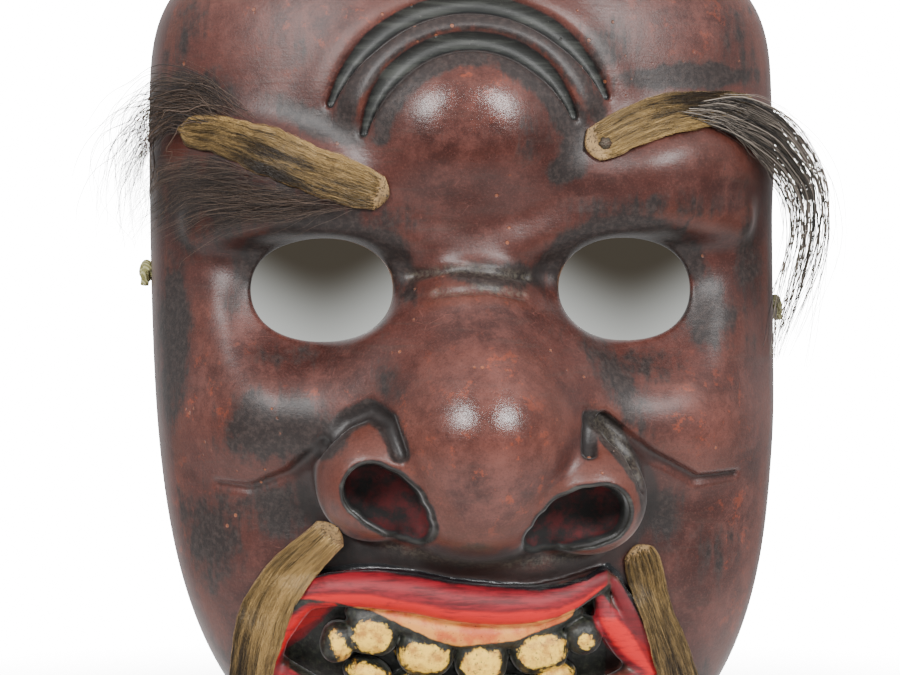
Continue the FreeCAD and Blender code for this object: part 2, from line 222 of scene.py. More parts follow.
class Clay:
    """A block of signed distance, below 0 inside the wood."""

    def __init__(self, low, high, voxel):
        self.voxel = voxel
        self.low = low
        self.axes = [np.arange(a, b + voxel, voxel, dtype=np.float32) for a, b in zip(low, high)]
        self.f = np.full([len(a) for a in self.axes], 50.0, np.float32)

    def grid(self, low=None, high=None):
        """Slices and broadcastable coordinates of a window."""
        cuts = []
        for axis, values in enumerate(self.axes):
            first = 0 if low is None else int(np.searchsorted(values, low[axis]))
            last = len(values) if high is None else int(np.searchsorted(values, high[axis]))
            cuts.append(slice(first, max(first + 1, last)))
        x = self.axes[0][cuts[0]][:, None, None]
        p = self.axes[1][cuts[1]][None, :, None]
        z = self.axes[2][cuts[2]][None, None, :]
        return tuple(cuts), x, p, z

    def around(self, centre, side, deep):
        """Slices and coordinates of a window with the given half sizes."""
        reach = (side, deep, side)
        return self.grid([c - r for c, r in zip(centre, reach)], [c + r for c, r in zip(centre, reach)])

    def apply(self, cuts, distance, soft, cut=False):
        if cut:
            self.f[cuts] = smooth_max(self.f[cuts], -distance, soft)
        else:
            self.f[cuts] = smooth_min(self.f[cuts], distance, soft)

    def ellipsoid(self, centre, radii, soft, tilt=0.0):
        margin = soft + CELL_MARGIN
        cuts, x, p, z = self.around(centre, max(radii[0], radii[2]) + margin, radii[1] + margin)
        dx, dz = turned(x - centre[0], z - centre[2], tilt)
        dp = p - centre[1]
        near = np.sqrt((dx / radii[0]) ** 2 + (dp / radii[1]) ** 2 + (dz / radii[2]) ** 2) + 1e-6
        slope = (dx / radii[0] ** 2) ** 2 + (dp / radii[1] ** 2) ** 2 + (dz / radii[2] ** 2) ** 2
        slope = np.sqrt(slope) + 1e-6
        self.apply(cuts, near * (near - 1.0) / slope, soft)

    def tube(self, path, soft=2.0, cut=False):
        """Round bar through (x, p, z, radius) points."""
        points = np.array(path, float)
        reach = points[:, 3].max() + soft + CELL_MARGIN
        cuts, x, p, z = self.grid(points[:, :3].min(0) - reach, points[:, :3].max(0) + reach)
        best = None
        for a, b in zip(points, points[1:]):
            run = b[:3] - a[:3]
            length = float(run @ run) + 1e-9
            share = ((x - a[0]) * run[0] + (p - a[1]) * run[1] + (z - a[2]) * run[2]) / length
            share = np.clip(share, 0.0, 1.0)
            away = np.sqrt((x - a[0] - share * run[0]) ** 2 + (p - a[1] - share * run[1]) ** 2
                           + (z - a[2] - share * run[2]) ** 2) - (a[3] + share * (b[3] - a[3]))
            best = away if best is None else np.minimum(best, away)
        self.apply(cuts, best, soft, cut)

    def well(self, path, floor, soft):
        """Cut a well along p whose plan is a path with radii, from the front down to a floor."""
        points = np.array(path, float)
        reach = points[:, 2].max() + soft + CELL_MARGIN
        lowest = points[:, :2].min(0) - reach
        highest = points[:, :2].max(0) + reach
        cuts, x, p, z = self.grid((lowest[0], floor - WELL_ROUNDING - CELL_MARGIN, lowest[1]),
                                  (highest[0], 200.0, highest[1]))
        plan = path_distance(x, z, [tuple(point) for point in points])
        self.apply(cuts, smooth_max(plan, floor - p, WELL_ROUNDING), soft, True)

    def block(self, centre, half, tilt, rounding, soft, taper):
        """Block with rounded edges, narrower at its foot by the taper."""
        margin = soft + CELL_MARGIN
        cuts, x, p, z = self.around(centre, max(half[0], half[2]) + rounding + margin, half[1] + margin)
        dx, dz = turned(x - centre[0], z - centre[2], tilt)
        dx = dx / (1.0 + taper * dz / half[2])
        qx = np.abs(dx) - (half[0] - rounding)
        qp = np.abs(p - centre[1]) - (half[1] - rounding)
        qz = np.abs(dz) - (half[2] - rounding)
        outside = np.sqrt(np.maximum(qx, 0) ** 2 + np.maximum(qp, 0) ** 2 + np.maximum(qz, 0) ** 2)
        inside = np.minimum(np.maximum(np.maximum(qx, qp), qz), 0.0)
        self.apply(cuts, outside + inside - rounding, soft)

    def front(self):
        """Height map of the front surface, for the whole plan."""
        inside = self.f < 0.0
        flipped = inside[:, ::-1, :]
        first = flipped.argmax(1)
        count = self.f.shape[1]
        index = count - 1 - first
        columns, rows = np.indices(index.shape)
        near = self.f[columns, index, rows]
        ahead = self.f[columns, np.minimum(index + 1, count - 1), rows]
        share = np.clip(near / (near - ahead - 1e-9), 0.0, 1.0)
        height = self.low[1] + (index + share) * self.voxel
        return np.where(inside.any(1), height, 0.0)

    def groove(self, path, depth, soft=1.0, cut=True):
        """Round groove, or roll, that follows the front surface. The path is (x, z, radius) points."""
        heights = HeightMap(self)
        points = []
        for a, b in zip(path, path[1:]):
            steps = max(1, int(math.hypot(b[0] - a[0], b[1] - a[1]) / 2.0))
            for step in range(steps):
                points.append([a[k] + (b[k] - a[k]) * step / steps for k in range(3)])
        points.append(list(path[-1]))
        lift = -depth if cut else depth
        bar = []
        for x, z, radius in points:
            centre = heights.at(x, z) + (radius + lift if cut else lift - radius)
            bar.append((x, centre, z, radius))
        self.tube(bar, soft, cut)


class HeightMap:
    """Front height of a clay, read anywhere by interpolation."""

    def __init__(self, clay):
        self.low = clay.low
        self.voxel = clay.voxel
        self.map = clay.front()

    def at(self, x, z):
        u = np.clip((np.asarray(x, float) - self.low[0]) / self.voxel, 0, self.map.shape[0] - 1.001)
        v = np.clip((np.asarray(z, float) - self.low[2]) / self.voxel, 0, self.map.shape[1] - 1.001)
        return between_cells(self.map, u, v)


# Broad masses of the face: centre x, centre z, radius in x, radius in z, height, then sharpness and tilt
# where they differ from the usual.
MASSES = [
    (-36, 121, 25, 18, -8), (37.5, 121, 25, 18, -8), (-50, 148, 27, 11, 8, 1.3, -12),
    (53, 151, 25, 12, 9, 1.3, 12), (-1.5, 160, 23, 19, 11, 1.5), (2, 126, 14, 7, -4), (-52, 92, 19, 15, 9),
    (53, 91, 20, 15, 9), (-61, 113, 9, 11, 4), (63, 112, 9, 10, 3.5), (0, 56, 40, 12, 3),
    (-56, 55, 14, 26, 3, 1.3, 12), (58, 55, 14, 26, 3, 1.3, -12), (0, 7, 27, 11, 9),
]
ARCH_CENTRE = (-0.3, 154.5)
INNER_GROOVE = 25.4
OUTER_GROOVE = 34.6


def arch_polar(x, z):
    """Radius and share of strength round the two forehead arches."""
    dx = x - ARCH_CENTRE[0]
    dz = z - ARCH_CENTRE[1]
    spread = np.degrees(np.abs(np.arctan2(dx, dz)))
    return np.hypot(dx, dz), spread


def face_height(x, z):
    height = dome(x, z, DOME_DEPTH)
    for values in MASSES:
        height = height + mass(x, z, *values)
    radius, spread = arch_polar(x, z)
    strength = 1.0 / (1.0 + np.exp((spread - 74.0) / 3.5))
    middle = 0.5 * (INNER_GROOVE + OUTER_GROOVE)
    height = height + strength * 2.4 * np.exp(-((radius - middle) / 4.2) ** 2)
    height = height + strength * 1.0 * np.exp(-((radius - OUTER_GROOVE - 4.5) / 4.0) ** 2)
    return height


def arch_points(radius, first, last, width):
    """Points of one arched groove, tapered at both ends."""
    points = []
    steps = 24
    for step in range(steps + 1):
        share = step / steps
        angle = math.radians(first + (last - first) * share)
        taper = min(1.0, 0.35 + 3.0 * min(share, 1.0 - share))
        points.append((ARCH_CENTRE[0] + radius * math.sin(angle), ARCH_CENTRE[1] + radius * math.cos(angle),
                       width * taper))
    return points


INNER_ARCH = arch_points(INNER_GROOVE, -82.0, 72.0, 2.6)
OUTER_ARCH = arch_points(OUTER_GROOVE, -72.0, 68.0, 2.7)
UPPER_LIP_LINE = [
    (-42, 52.5), (-33.7, 54.2), (-28.5, 55.2), (-22, 55.9), (-15, 55.2), (-5.7, 53.1), (6, 51.9),
    (15.3, 51), (21, 51.2), (28, 53.2), (33.5, 56.2),
]
LIP_FOOT_LINE = [
    (-38, 49.2), (-31.8, 48.4), (-27.6, 47.2), (-16.9, 46), (-9.2, 44.8), (1.1, 43.1), (11.4, 43.1),
    (20, 44.6), (25, 47), (32, 52),
]
LIP_CREASE_LINE = [
    (-44, 48), (-38, 50.2), (-33.8, 50.6), (-24.6, 50.7), (-15.8, 49), (-4, 47), (6.2, 46.4), (20, 47),
    (26, 49.2), (32, 53),
]
GUM_FOOT_LINE = [
    (-28, 47), (-24, 46.4), (-17.3, 43.2), (-9.2, 39.4), (-4, 37.8), (6.2, 38.7), (9.8, 39), (15.6, 41.2),
    (21.4, 43.2), (26, 46),
]
LEFT_NOSTRIL = [
    (-24.6, 75.4, 6.2), (-21.6, 73.4, 6.7), (-18.4, 71, 6.3), (-15.6, 68.6, 5), (-13.4, 66.4, 3.5),
]
RIGHT_NOSTRIL = [(14.2, 63.8, 3), (17.8, 66, 4.8), (21.6, 67.8, 6.4), (25.4, 69, 6.9), (28.6, 69.8, 6.5)]
LEFT_ALAR = [(-35.5, 84.5, 1.6), (-30, 91, 1.8), (-24.5, 93.6, 1.9), (-20.5, 91, 1.8), (-18, 84, 1.4)]
RIGHT_ALAR = [(26, 84, 1.6), (26.5, 91.5, 1.9), (31, 90, 1.9), (36, 83, 1.9), (38.5, 76, 1.5)]
LEFT_CREASE = [(-35, 85, 1.4), (-43, 78, 1.3), (-52, 74.5, 1), (-60, 75.5, 0.7)]
RIGHT_CREASE = [(30, 91.5, 1.5), (42, 82.5, 1.4), (54, 76.5, 1.2), (65, 77.5, 0.7)]
# Eye holes: centre x, centre z, half width.
EYES = [(-34.7, 121.6, 16.4), (37.4, 122, 16)]
# Teeth: centre x, centre z, half width, half height, tilt.
UPPER_TEETH = [
    (-31.5, 38.5, 4.2, 5, -22), (-23.3, 40.8, 6.3, 5.4, -8), (-10.8, 36, 6.8, 5.6, -6),
    (2.4, 33.8, 6.3, 5.6, 0), (16.2, 36, 7, 5.2, 9), (26.6, 39.5, 4.6, 4.6, 20),
]
LOWER_TEETH = [
    (-24.5, 31, 6, 3.8, -14), (-14, 27.6, 5.6, 3.8, -6), (-2.5, 25.8, 5.8, 3.8, 0), (9, 26.2, 5.6, 3.8, 2),
    (20, 29.8, 5.6, 3.8, 10),
]


# Wrinkles between the brows, each with its depth.
WRINKLES = [([(-14, 125, 1), (-3, 126.6, 1.3), (13, 124.6, 0.9)], 0.7),
            ([(-9, 120.6, 0.8), (2, 121.6, 1), (12, 120.2, 0.8)], 0.5)]
BROW_EDGES = [([(-10, 133, 4), (-24, 138.5, 5), (-44, 140.5, 5.5), (-63, 137, 4)], 1.6),
              ([(12, 133, 4), (26, 138.5, 5), (46, 141.5, 5.5), (65, 139, 4)], 1.8)]
# Ball-shaped masses of the nose: centre, radii, softness of the joint.
NOSE_BALLS = [((1.5, 57.5, 87.5), (21.5, 22, 19.5), 10), ((0.5, 57.5, 71), (15, 13, 11), 8),
              ((-24, 55.5, 77), (13, 14.5, 14), 4), ((26.5, 55, 73), (14, 14.5, 13.5), 4)]
MOUTH_WELL = [(-40, 39, 5.5), (-22, 38, 9), (0, 35, 10), (20, 37.5, 9), (30, 41, 6)]
# Bars of the mouth as (x, p, z, radius) points, with the softness of each joint: upper lip, gum, fold at the
# left corner, petal and fold at the right corner, lower lip.
MOUTH_BARS = [
    ([(-45, 44, 45, 2.6), (-40, 47, 49.5, 3.4), (-33, 49, 51.2, 4), (-24, 50.5, 51.4, 4.4),
      (-14, 51.3, 50.4, 4.6), (-5, 51.8, 48.4, 4.7), (6, 51.8, 47.3, 4.7), (15, 51.3, 47.3, 4.5),
      (22, 50.3, 49, 4), (31, 48.5, 53, 2.6)], 1.6),
    ([(-28, 47.6, 45.8, 2), (-17, 48.4, 43.6, 3), (-9.2, 48.6, 41.4, 3.6), (0, 48.8, 40, 3.6),
      (10, 48.6, 40.4, 3.4), (18, 48.2, 42.6, 2.8), (25, 47.4, 45.4, 1.8)], 0.8),
    ([(-41, 46.5, 47, 2.8), (-46.5, 44, 40, 3.6), (-49, 41, 32, 3.6), (-46, 38, 24, 2.6)], 2),
    ([(31, 47, 49.5, 1.8), (33, 46.5, 43, 3.6), (38, 44.5, 37, 4.2), (43, 42, 31.5, 3.6)], 1.6),
    ([(34, 48.5, 52.5, 1.4), (38, 47, 45, 2.6), (42, 44.5, 38.5, 2.8), (46.5, 40.5, 30, 2.6)], 1),
    ([(-46, 39, 32, 3), (-37, 46, 25.5, 4.6), (-20, 49, 20.5, 5.8), (0, 50, 18.5, 6.2),
      (18, 49, 20.5, 5.8), (34, 46, 25.5, 4.6), (45, 39, 31, 3)], 2.2),
]


def carve_hollow(clay):
    """Open back with shallow gouge marks."""
    cuts, x, p, z = clay.grid()
    plan_x = x[:, :, 0]
    plan_z = z[0]
    rows = np.sin(plan_z * 0.9 + 1.6 * np.sin(plan_x * 0.11) + 0.7 * np.sin(plan_z * 0.23))
    cross = np.sin(plan_x * 0.31 + 1.3 * np.sin(plan_z * 0.17) + 0.9 * np.sin(plan_x * 0.07 + 1.0))
    height = hollow_height(plan_x, plan_z)
    height = height - 0.75 * np.abs(rows) * (0.6 + 0.4 * cross) - 0.45 * np.abs(cross)
    edge = outline_edge(plan_x, plan_z, clay.voxel, WALL) + 0.3 * np.sin(plan_z * 0.8) * np.sin(plan_x * 0.8)
    hollow = smooth_max(behind(p, height, clay.voxel), edge[:, None, :], 8.0)
    clay.f[:] = smooth_max(clay.f, -hollow, 2.0)


def carve_nose(clay):
    """Flanks, bridge, ball and wings, then the creases and nostrils."""
    clay.ellipsoid((0.5, 47.0, 90.0), (35.0, 17.0, 29.0), 13.0)
    clay.tube([(1.0, 43.5, 126.0, 8.0), (0.5, 50.5, 112.0, 11.0), (1.0, 56.0, 100.0, 13.5)], 11.0)
    for centre, radii, soft in NOSE_BALLS:
        clay.ellipsoid(centre, radii, soft)
    clay.groove(LEFT_ALAR, 1.8, 1.8)
    clay.groove(RIGHT_ALAR, 2.0, 1.8)
    clay.groove(LEFT_CREASE, 0.9, 1.4)
    clay.groove(RIGHT_CREASE, 1.5, 1.2)
    clay.well(LEFT_NOSTRIL, 54.0, 1.8)
    clay.well(RIGHT_NOSTRIL, 53.0, 1.8)


def carve_mouth(clay):
    """Shallow cavity, lips, gum, folds at the corners, chin and teeth."""
    clay.well(MOUTH_WELL, 43.5, 2.0)
    for path, soft in MOUTH_BARS:
        clay.tube(path, soft)
    clay.ellipsoid((0.0, 36.0, 6.0), (27.0, 15.0, 12.0), 9.0)
    for tooth_x, tooth_z, half_x, half_z, tilt in LOWER_TEETH:
        clay.ellipsoid((tooth_x, 43.5, tooth_z), (half_x, 5.6, half_z), 0.4, tilt)
    for tooth_x, tooth_z, half_x, half_z, tilt in UPPER_TEETH:
        clay.block((tooth_x, 45.4, tooth_z), (half_x, 5.6, half_z), tilt, 4.2, 0.4, 0.1)


def carve_eye(clay, centre_x, centre_z, radius_x):
    """Oval hole, flared to the back."""
    cuts, x, p, z = clay.grid((centre_x - 30.0, -5.0, centre_z - 26.0),
                              (centre_x + 30.0, 200.0, centre_z + 26.0))
    flare = np.maximum(40.0 - p, 0.0) * 0.2
    across = np.abs((x - centre_x) / (radius_x + flare)) ** EYE_POWER
    level = across + np.abs((z - centre_z) / (EYE_HALF_HEIGHT + flare)) ** EYE_POWER
    clay.apply(cuts, (level ** (1.0 / EYE_POWER) - 1.0) * 13.0, 1.6, True)


def carve_mask():
    clay = Clay(FIELD_LOW, FIELD_HIGH, VOXEL)
    cuts, x, p, z = clay.grid()
    plan_x = x[:, :, 0]
    plan_z = z[0]
    edge = outline_edge(plan_x, plan_z, clay.voxel)
    clay.f[:] = smooth_max(behind(p, face_height(plan_x, plan_z), clay.voxel), edge[:, None, :], 5.0)
    for path, rise in BROW_EDGES:
        clay.groove(path, rise, 6.0, False)
    carve_nose(clay)
    for arch in (INNER_ARCH, OUTER_ARCH):
        clay.groove(arch, 2.2, 1.4)
    for path, depth in WRINKLES:
        clay.groove(path, depth, 1.2)
    carve_mouth(clay)
    carve_hollow(clay)
    for eye in EYES:
        carve_eye(clay, *eye)
    for hole_x, hole_z in (LEFT_HOLE, RIGHT_HOLE):
        ends = [(hole_x + side * 10.0, 8.5, hole_z, HOLE_RADIUS) for side in (-1, 1)]
        clay.tube(ends, 0.6, True)
    # flat back plane
    clay.f[:] = smooth_max(clay.f, np.broadcast_to(-p, clay.f.shape), 1.6)
    return clay


def mesh_from_clay(clay, name):
    """Closed quad mesh of a clay's surface, in metres."""
    grid = openvdb.FloatGrid(50.0)
    grid.copyFromArray(np.ascontiguousarray(clay.f))
    points, quads = grid.convertToQuads(0.0)
    places = np.asarray(points, float) * clay.voxel + np.array(clay.low)
    verts = np.stack([places[:, 0], -places[:, 1], places[:, 2]], 1) * MM
    mesh = bpy.data.meshes.new(name)
    mesh.from_pydata(verts.tolist(), [], np.asarray(quads)[:, ::-1].tolist())
    mesh.update()
    mesh.validate()
    mesh.polygons.foreach_set("use_smooth", [True] * len(mesh.polygons))
    return place_object(name, mesh), places


clay = carve_mask()
carving, carving_places = mesh_from_clay(clay, "mask_carving")
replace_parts(carving, "mask_body")
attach(carving, "root")
face = HeightMap(clay)


# ---------------------------------------------------------------- paint fields, read by the materials

MOUTH_LINE_PATH = [
    (-46, 46, 0.37), (-43, 51, 0.59), (-38, 54.2, 0.59), (-33.7, 55.4, 0.67), (-28.5, 56.2, 0.81),
    (-22, 56.4, 0.89), (-15, 55.4, 0.81), (-5.7, 53.5, 0.67), (6, 52.3, 0.67), (15.3, 51.5, 0.59),
    (21, 52, 0.52), (27, 53.6, 0.59), (32.5, 56.2, 0.67), (35, 54, 0.67), (38.2, 48.5, 0.74),
    (41.4, 42.5, 0.81), (44.4, 36.5, 0.81), (48.5, 29, 0.81),
]
LEFT_CORNER = [
    (-33, 47.2, 1.2), (-37.5, 45, 3.2), (-42, 41.5, 3.8), (-47, 38, 3.6), (-49, 32, 3.4), (-46, 25, 2.4),
]
RIGHT_PETAL = [(30.6, 48.4, 1), (32.2, 43.5, 3.2), (35.8, 39, 4), (40, 35.2, 4), (43.6, 31.5, 3)]
RIGHT_FOLD = [(33.3, 53, 0.7), (36.1, 47.8, 2), (39.2, 42.3, 2.2), (42.2, 37.4, 2.2), (45.5, 32, 2.2)]
LOWER_LIP_PATH = [
    (-45.5, 31, 2), (-37, 25, 3.6), (-20, 19.8, 4.6), (0, 17.8, 5), (18, 19.8, 4.6), (34, 25, 3.6),
    (44.5, 30.5, 2),
]
CHIN_LINE = [
    (-46, 27, 0.7), (-37, 20.2, 1), (-20, 14.4, 1.1), (0, 12.2, 1.1), (18, 14.4, 1.1), (34, 20.2, 1),
    (45.5, 26.5, 0.7),
]
NOSTRIL_RIMS = [(LEFT_NOSTRIL, 0.8), (RIGHT_NOSTRIL, 0.9)]
ALAR_PATCH = [(27.5, 91, 1), (31, 88, 2.2), (35.5, 82.5, 2.4), (38.8, 76, 1.3), (39.5, 70, 0.6)]
LIP_SHADOWS = [[(26.5, 51.6, 0.4), (33.2, 54, 2.2)], [(-43.5, 46, 1), (-48.5, 38, 3.2), (-50, 30, 4)],
               [(-36, 42.6, 0.8), (-42, 38, 1.6), (-45, 31, 1.8)]]
DUST_PATHS = [
    [(28.5, 91, 0.6), (33.5, 86, 0.9), (37.8, 78, 0.4)],
    [(-20.2, 61.6), (-8.9, 59), (1.5, 57.4), (11.8, 57.2), (18.2, 58), (29.8, 60)],
    *([(x, z) for x, z, _ in path] for path, _ in WRINKLES),
]
# Gilt left on the teeth: centre x, centre z, radius in x, radius in z, tilt.
GILT = [
    (-23.6, 40, 4.4, 3.9, -10), (-11.3, 34.9, 5.9, 3.4, -6), (2.2, 33.2, 4.8, 3.7, 0),
    (16.6, 36.2, 5.6, 3.7, 10), (-31, 38, 1.6, 3.4, 24), (26.8, 38.6, 1.8, 1.8, 0),
    (-24.6, 31.4, 4.6, 1.9, -14), (-14, 28, 4, 2.2, -6), (-2.5, 26.2, 4.4, 2.3, 0), (9, 26.6, 4.2, 2.3, 4),
    (20, 30.4, 4, 2.1, 12),
]
# Smoke stains and painted shade: centre x, centre z, radius in x, radius in z, strength, tilt if any.
SMOKE_AND_SHADE = [
    (-46, 89, 15, 9, 1), (-71, 112, 5, 26, 0.9), (-64, 143, 20, 15, 0.72), (-44, 141.5, 26, 7, 0.7, -6),
    (-68, 168, 13, 8, 1), (-36, 161, 14, 4, 0.9, -24), (22, 150, 6, 4, 1.1, 30), (52, 173, 22, 3.5, 1.1, 4),
    (24, 158, 5, 9, 1), (-62, 62, 9, 16, 0.8), (-45, 70, 12, 9, 0.8), (58, 117, 9, 10, 0.9),
    (40, 104, 15, 4.5, 0.6), (35, 99, 5, 17, 0.75, 33), (6, 125, 14, 4, 0.9), (32, 178, 10, 13, 0.6),
    (15, 158, 11, 12, 0.4), (70, 128, 7, 24, 0.6), (0, 59.5, 34, 4, 0.8), (60, 58, 12, 12, 0.5),
    (-36, 139, 24, 5, 0.8, -4), (40, 141, 24, 4.5, 0.6, 4), (-20, 100, 5, 9, 0.5), (-38, 178, 16, 9, 0.35),
    (45, 68, 8, 10, 0.75), (-30, 62, 9, 7, 0.6), (-10, 195, 30, 10, 0.3), (-68, 180, 8, 20, 0.5),
    (66, 178, 8, 20, 0.5), (0, 0, 60, 14, 0.6), (-22, 118, 6, 12, 0.5), (21, 116, 5, 10, 0.4),
    (60, 20, 12, 18, 0.5), (-60, 24, 12, 18, 0.5), (-58, 120, 5, 7, 0.5), (-44, 106, 13, 4, 0.5, -6),
]
# Pale places of the lacquer: rubbed places, and painted reflection in the strips down both sides.
RUBBED_AND_SHEEN = [
    (-62, 200, 20, 14, 0.8), (-64, 95, 7, 11, 0.8), (-35, 96, 10, 5, 0.6), (54, 92, 15, 11, 0.7),
    (0, 170, 22, 9, 0.6), (2, 100, 12, 8, 0.8), (66, 60, 8, 24, 0.6), (-30, 187, 24, 16, 0.7),
    (52, 190, 20, 14, 0.4), (-52, 112, 10, 8, 0.4), (4, 80, 16, 12, 0.9), (-66, 60, 6, 24, 0.7),
    (-15.4, 91, 5, 6, 0.7, 20), (31, 88, 4, 8, 0.7, 20), (6, 122.5, 16, 5, 0.5),
]
# Places that are rubbed to a shine: the brow bulb and the nose.
POLISHED = [(-0.5, 163, 17, 13, 1), (2, 93, 15, 9, 1)]
# Upper edge of the lower lip: x and z of its points.
MOUTH_FLOOR = ([-46.0, -37.0, -20.0, 0.0, 18.0, 34.0, 45.0], [34.0, 28.5, 24.4, 22.8, 24.4, 28.5, 34.0])


def line_height(line, x):
    """Height of a painted line at each x."""
    return np.interp(x, [point[0] for point in line], [point[1] for point in line])


def blurred(values, reach, passes=3):
    """Values of a map averaged over a square of cells, a few times."""
    for _ in range(passes):
        for axis in (0, 1):
            padded = np.pad(values, [(reach + 1, reach) if a == axis else (0, 0) for a in (0, 1)], "edge")
            total = np.cumsum(padded, axis)
            size = 2 * reach + 1
            if axis == 0:
                values = (total[size:] - total[:-size]) / size
            else:
                values = (total[:, size:] - total[:, :-size]) / size
    return values


def strongest(x, z, patches, sharpness):
    """Strength of the strongest patch at each place."""
    best = np.zeros_like(x)
    for centre_x, centre_z, radius_x, radius_z, strength, *tilt in patches:
        patch = mass(x, z, centre_x, centre_z, radius_x, radius_z, strength, sharpness, *tilt)
        best = np.maximum(best, patch)
    return best


def faded(distance, reach):
    """1 inside a distance of 0, fading out beyond it."""
    return np.exp(-(np.maximum(distance, 0.0) / reach) ** 2)


def line_fields(x, z):
    """Black lines, arches and nostrils."""
    arches = [path_distance(x, z, [(ax, az, width * kept) for ax, az, width in path])
              for path, kept in ((INNER_ARCH, 0.86), (OUTER_ARCH, 0.82))]
    pits = [path_distance(x, z, path) for path, _ in NOSTRIL_RIMS]
    rims = [np.abs(away - 0.2) - rim for away, (_, rim) in zip(pits, NOSTRIL_RIMS)]
    arch = np.minimum.reduce(arches + rims)
    lines = [path_distance(x, z, path) for path in (MOUTH_LINE_PATH, CHIN_LINE)]
    return {"black": np.minimum.reduce([arch] + lines), "arch": arch, "nostril": np.minimum.reduce(pits)}


def mouth_fields(x, z):
    """Lips, gum, gilt and the dark frame of the mouth."""
    foot = line_height(LIP_FOOT_LINE, x)
    span = np.maximum(-44.0 - x, x - 32.0)
    upper = np.maximum(np.maximum(z - line_height(UPPER_LIP_LINE, x) - 0.6, foot - z), span)
    fold, petal, corner, lower = [path_distance(x, z, path)
                                  for path in (RIGHT_FOLD, RIGHT_PETAL, LEFT_CORNER, LOWER_LIP_PATH)]
    crease = z - line_height(LIP_CREASE_LINE, x)
    bright = np.maximum(np.maximum(crease, foot - z - 1.0), span)
    bright_petal = np.maximum(petal + 1.5, z - 44.0)
    gum = np.maximum(z - foot, line_height(GUM_FOOT_LINE, x) - z)
    shadows = [path_distance(x, z, path) for path in LIP_SHADOWS]
    floor = np.interp(x, *MOUTH_FLOOR)
    gilt = np.full_like(x, 1e3)
    for centre_x, centre_z, radius_x, radius_z, tilt in GILT:
        dx, dz = turned(x - centre_x, z - centre_z, tilt)
        level = np.sqrt((dx / radius_x) ** 2 + (dz / radius_z) ** 2)
        gilt = np.minimum(gilt, (level - 1.0) * min(radius_x, radius_z))
    return {
        "lip": np.minimum.reduce([upper, fold, petal, corner, lower]),
        "bright_lip": np.minimum.reduce([bright, bright_petal, corner + 0.8, lower + 1.5]),
        "crease": np.minimum.reduce([np.maximum(np.abs(crease) - 0.25, span + 1.0), fold] + shadows),
        "gum": np.maximum(gum, np.maximum(-28.0 - x, x - 24.0)),
        "mouth": np.maximum(np.maximum(z - foot, floor - z), np.maximum(-43.0 - x, x - 33.0)),
        "gilt": gilt,
    }


def smoke_and_shade_field(x, z):
    """Smoke-dark patches that are partly painted shade, and painted shade beside the arches, the nose wings
    and the eyes.
    """
    smoke_and_shade = strongest(x, z, SMOKE_AND_SHADE, 1.1)
    # painted shade along the inner side of each arched groove
    for radius in (INNER_GROOVE, OUTER_GROOVE):
        band = arch_points(radius - 3.8, -84.0, 74.0, 1.0)
        smoke_and_shade = np.maximum(smoke_and_shade, 0.8 * faded(path_distance(x, z, band), 2.6))
    # painted shade in the creases of the nose wings
    for path, strength, reach in ((LEFT_ALAR, 1.0, 1.7), (RIGHT_ALAR, 0.9, 1.3), (ALAR_PATCH, 1.2, 1.2)):
        smoke_and_shade = np.maximum(smoke_and_shade, strength * faded(path_distance(x, z, path) + 0.6, reach))
    for centre_x, centre_z, radius_x in EYES:
        across = ((x - centre_x) / (radius_x + 5.0)) ** 2
        level = np.sqrt(across + ((z - centre_z) / (EYE_HALF_HEIGHT + 4.0)) ** 2)
        # painted shade round each eye hole, darker at its top under the brow
        over = 0.55 + 0.45 * np.clip((z - centre_z) / 8.0, -1.0, 1.0)
        smoke_and_shade = np.maximum(smoke_and_shade, over * faded(level - 0.85, 0.28))
    return smoke_and_shade


def relief_field(x, p, z, face):
    """Height over the level of the surroundings, on the front only."""
    relief = HeightMap(clay)
    solid = (face.map > 4.0).astype(float)
    reach = int(2.4 / clay.voxel)
    share = blurred(solid, reach)
    relief.map = (face.map - blurred(face.map * solid, reach) / np.maximum(share, 1e-3)) * (share > 0.93)
    return np.where(p > face.at(x, z) - 2.0, np.clip(relief.at(x, z), -3.0, 3.0), 0.0)


def paint_fields(places, face):
    """Signed distances, in millimetres and below 0 inside, and strengths of every painted area."""
    x, p, z = places.T
    dust = [np.exp(-(path_distance(x, z, path) / 1.3) ** 2) for path in DUST_PATHS]
    return {
        "bare": 1.0 - np.clip((p - hollow_height(x, z) - 3.0) / 4.0, 0.0, 1.0),
        **line_fields(x, z),
        **mouth_fields(x, z),
        "smoke_and_shade": smoke_and_shade_field(x, z),
        "rubbed_and_sheen": strongest(x, z, RUBBED_AND_SHEEN, 1.0),
        "polish": strongest(x, z, POLISHED, 1.0),
        "dust": np.maximum.reduce(dust),
        "relief": relief_field(x, p, z, face),
    }


def add_fields(piece, fields):
    for name, values in fields.items():
        layer = piece.data.attributes.new(name, "FLOAT", "POINT")
        layer.data.foreach_set("value", np.ascontiguousarray(values, np.float32))


add_fields(carving, paint_fields(carving_places, face))


# ---------------------------------------------------------------- materials

def tone(red, green, blue):
    """Linear colour of a display colour from 0 to 255."""
    return tuple((value / 255.0) ** 2.2 for value in (red, green, blue)) + (1.0,)


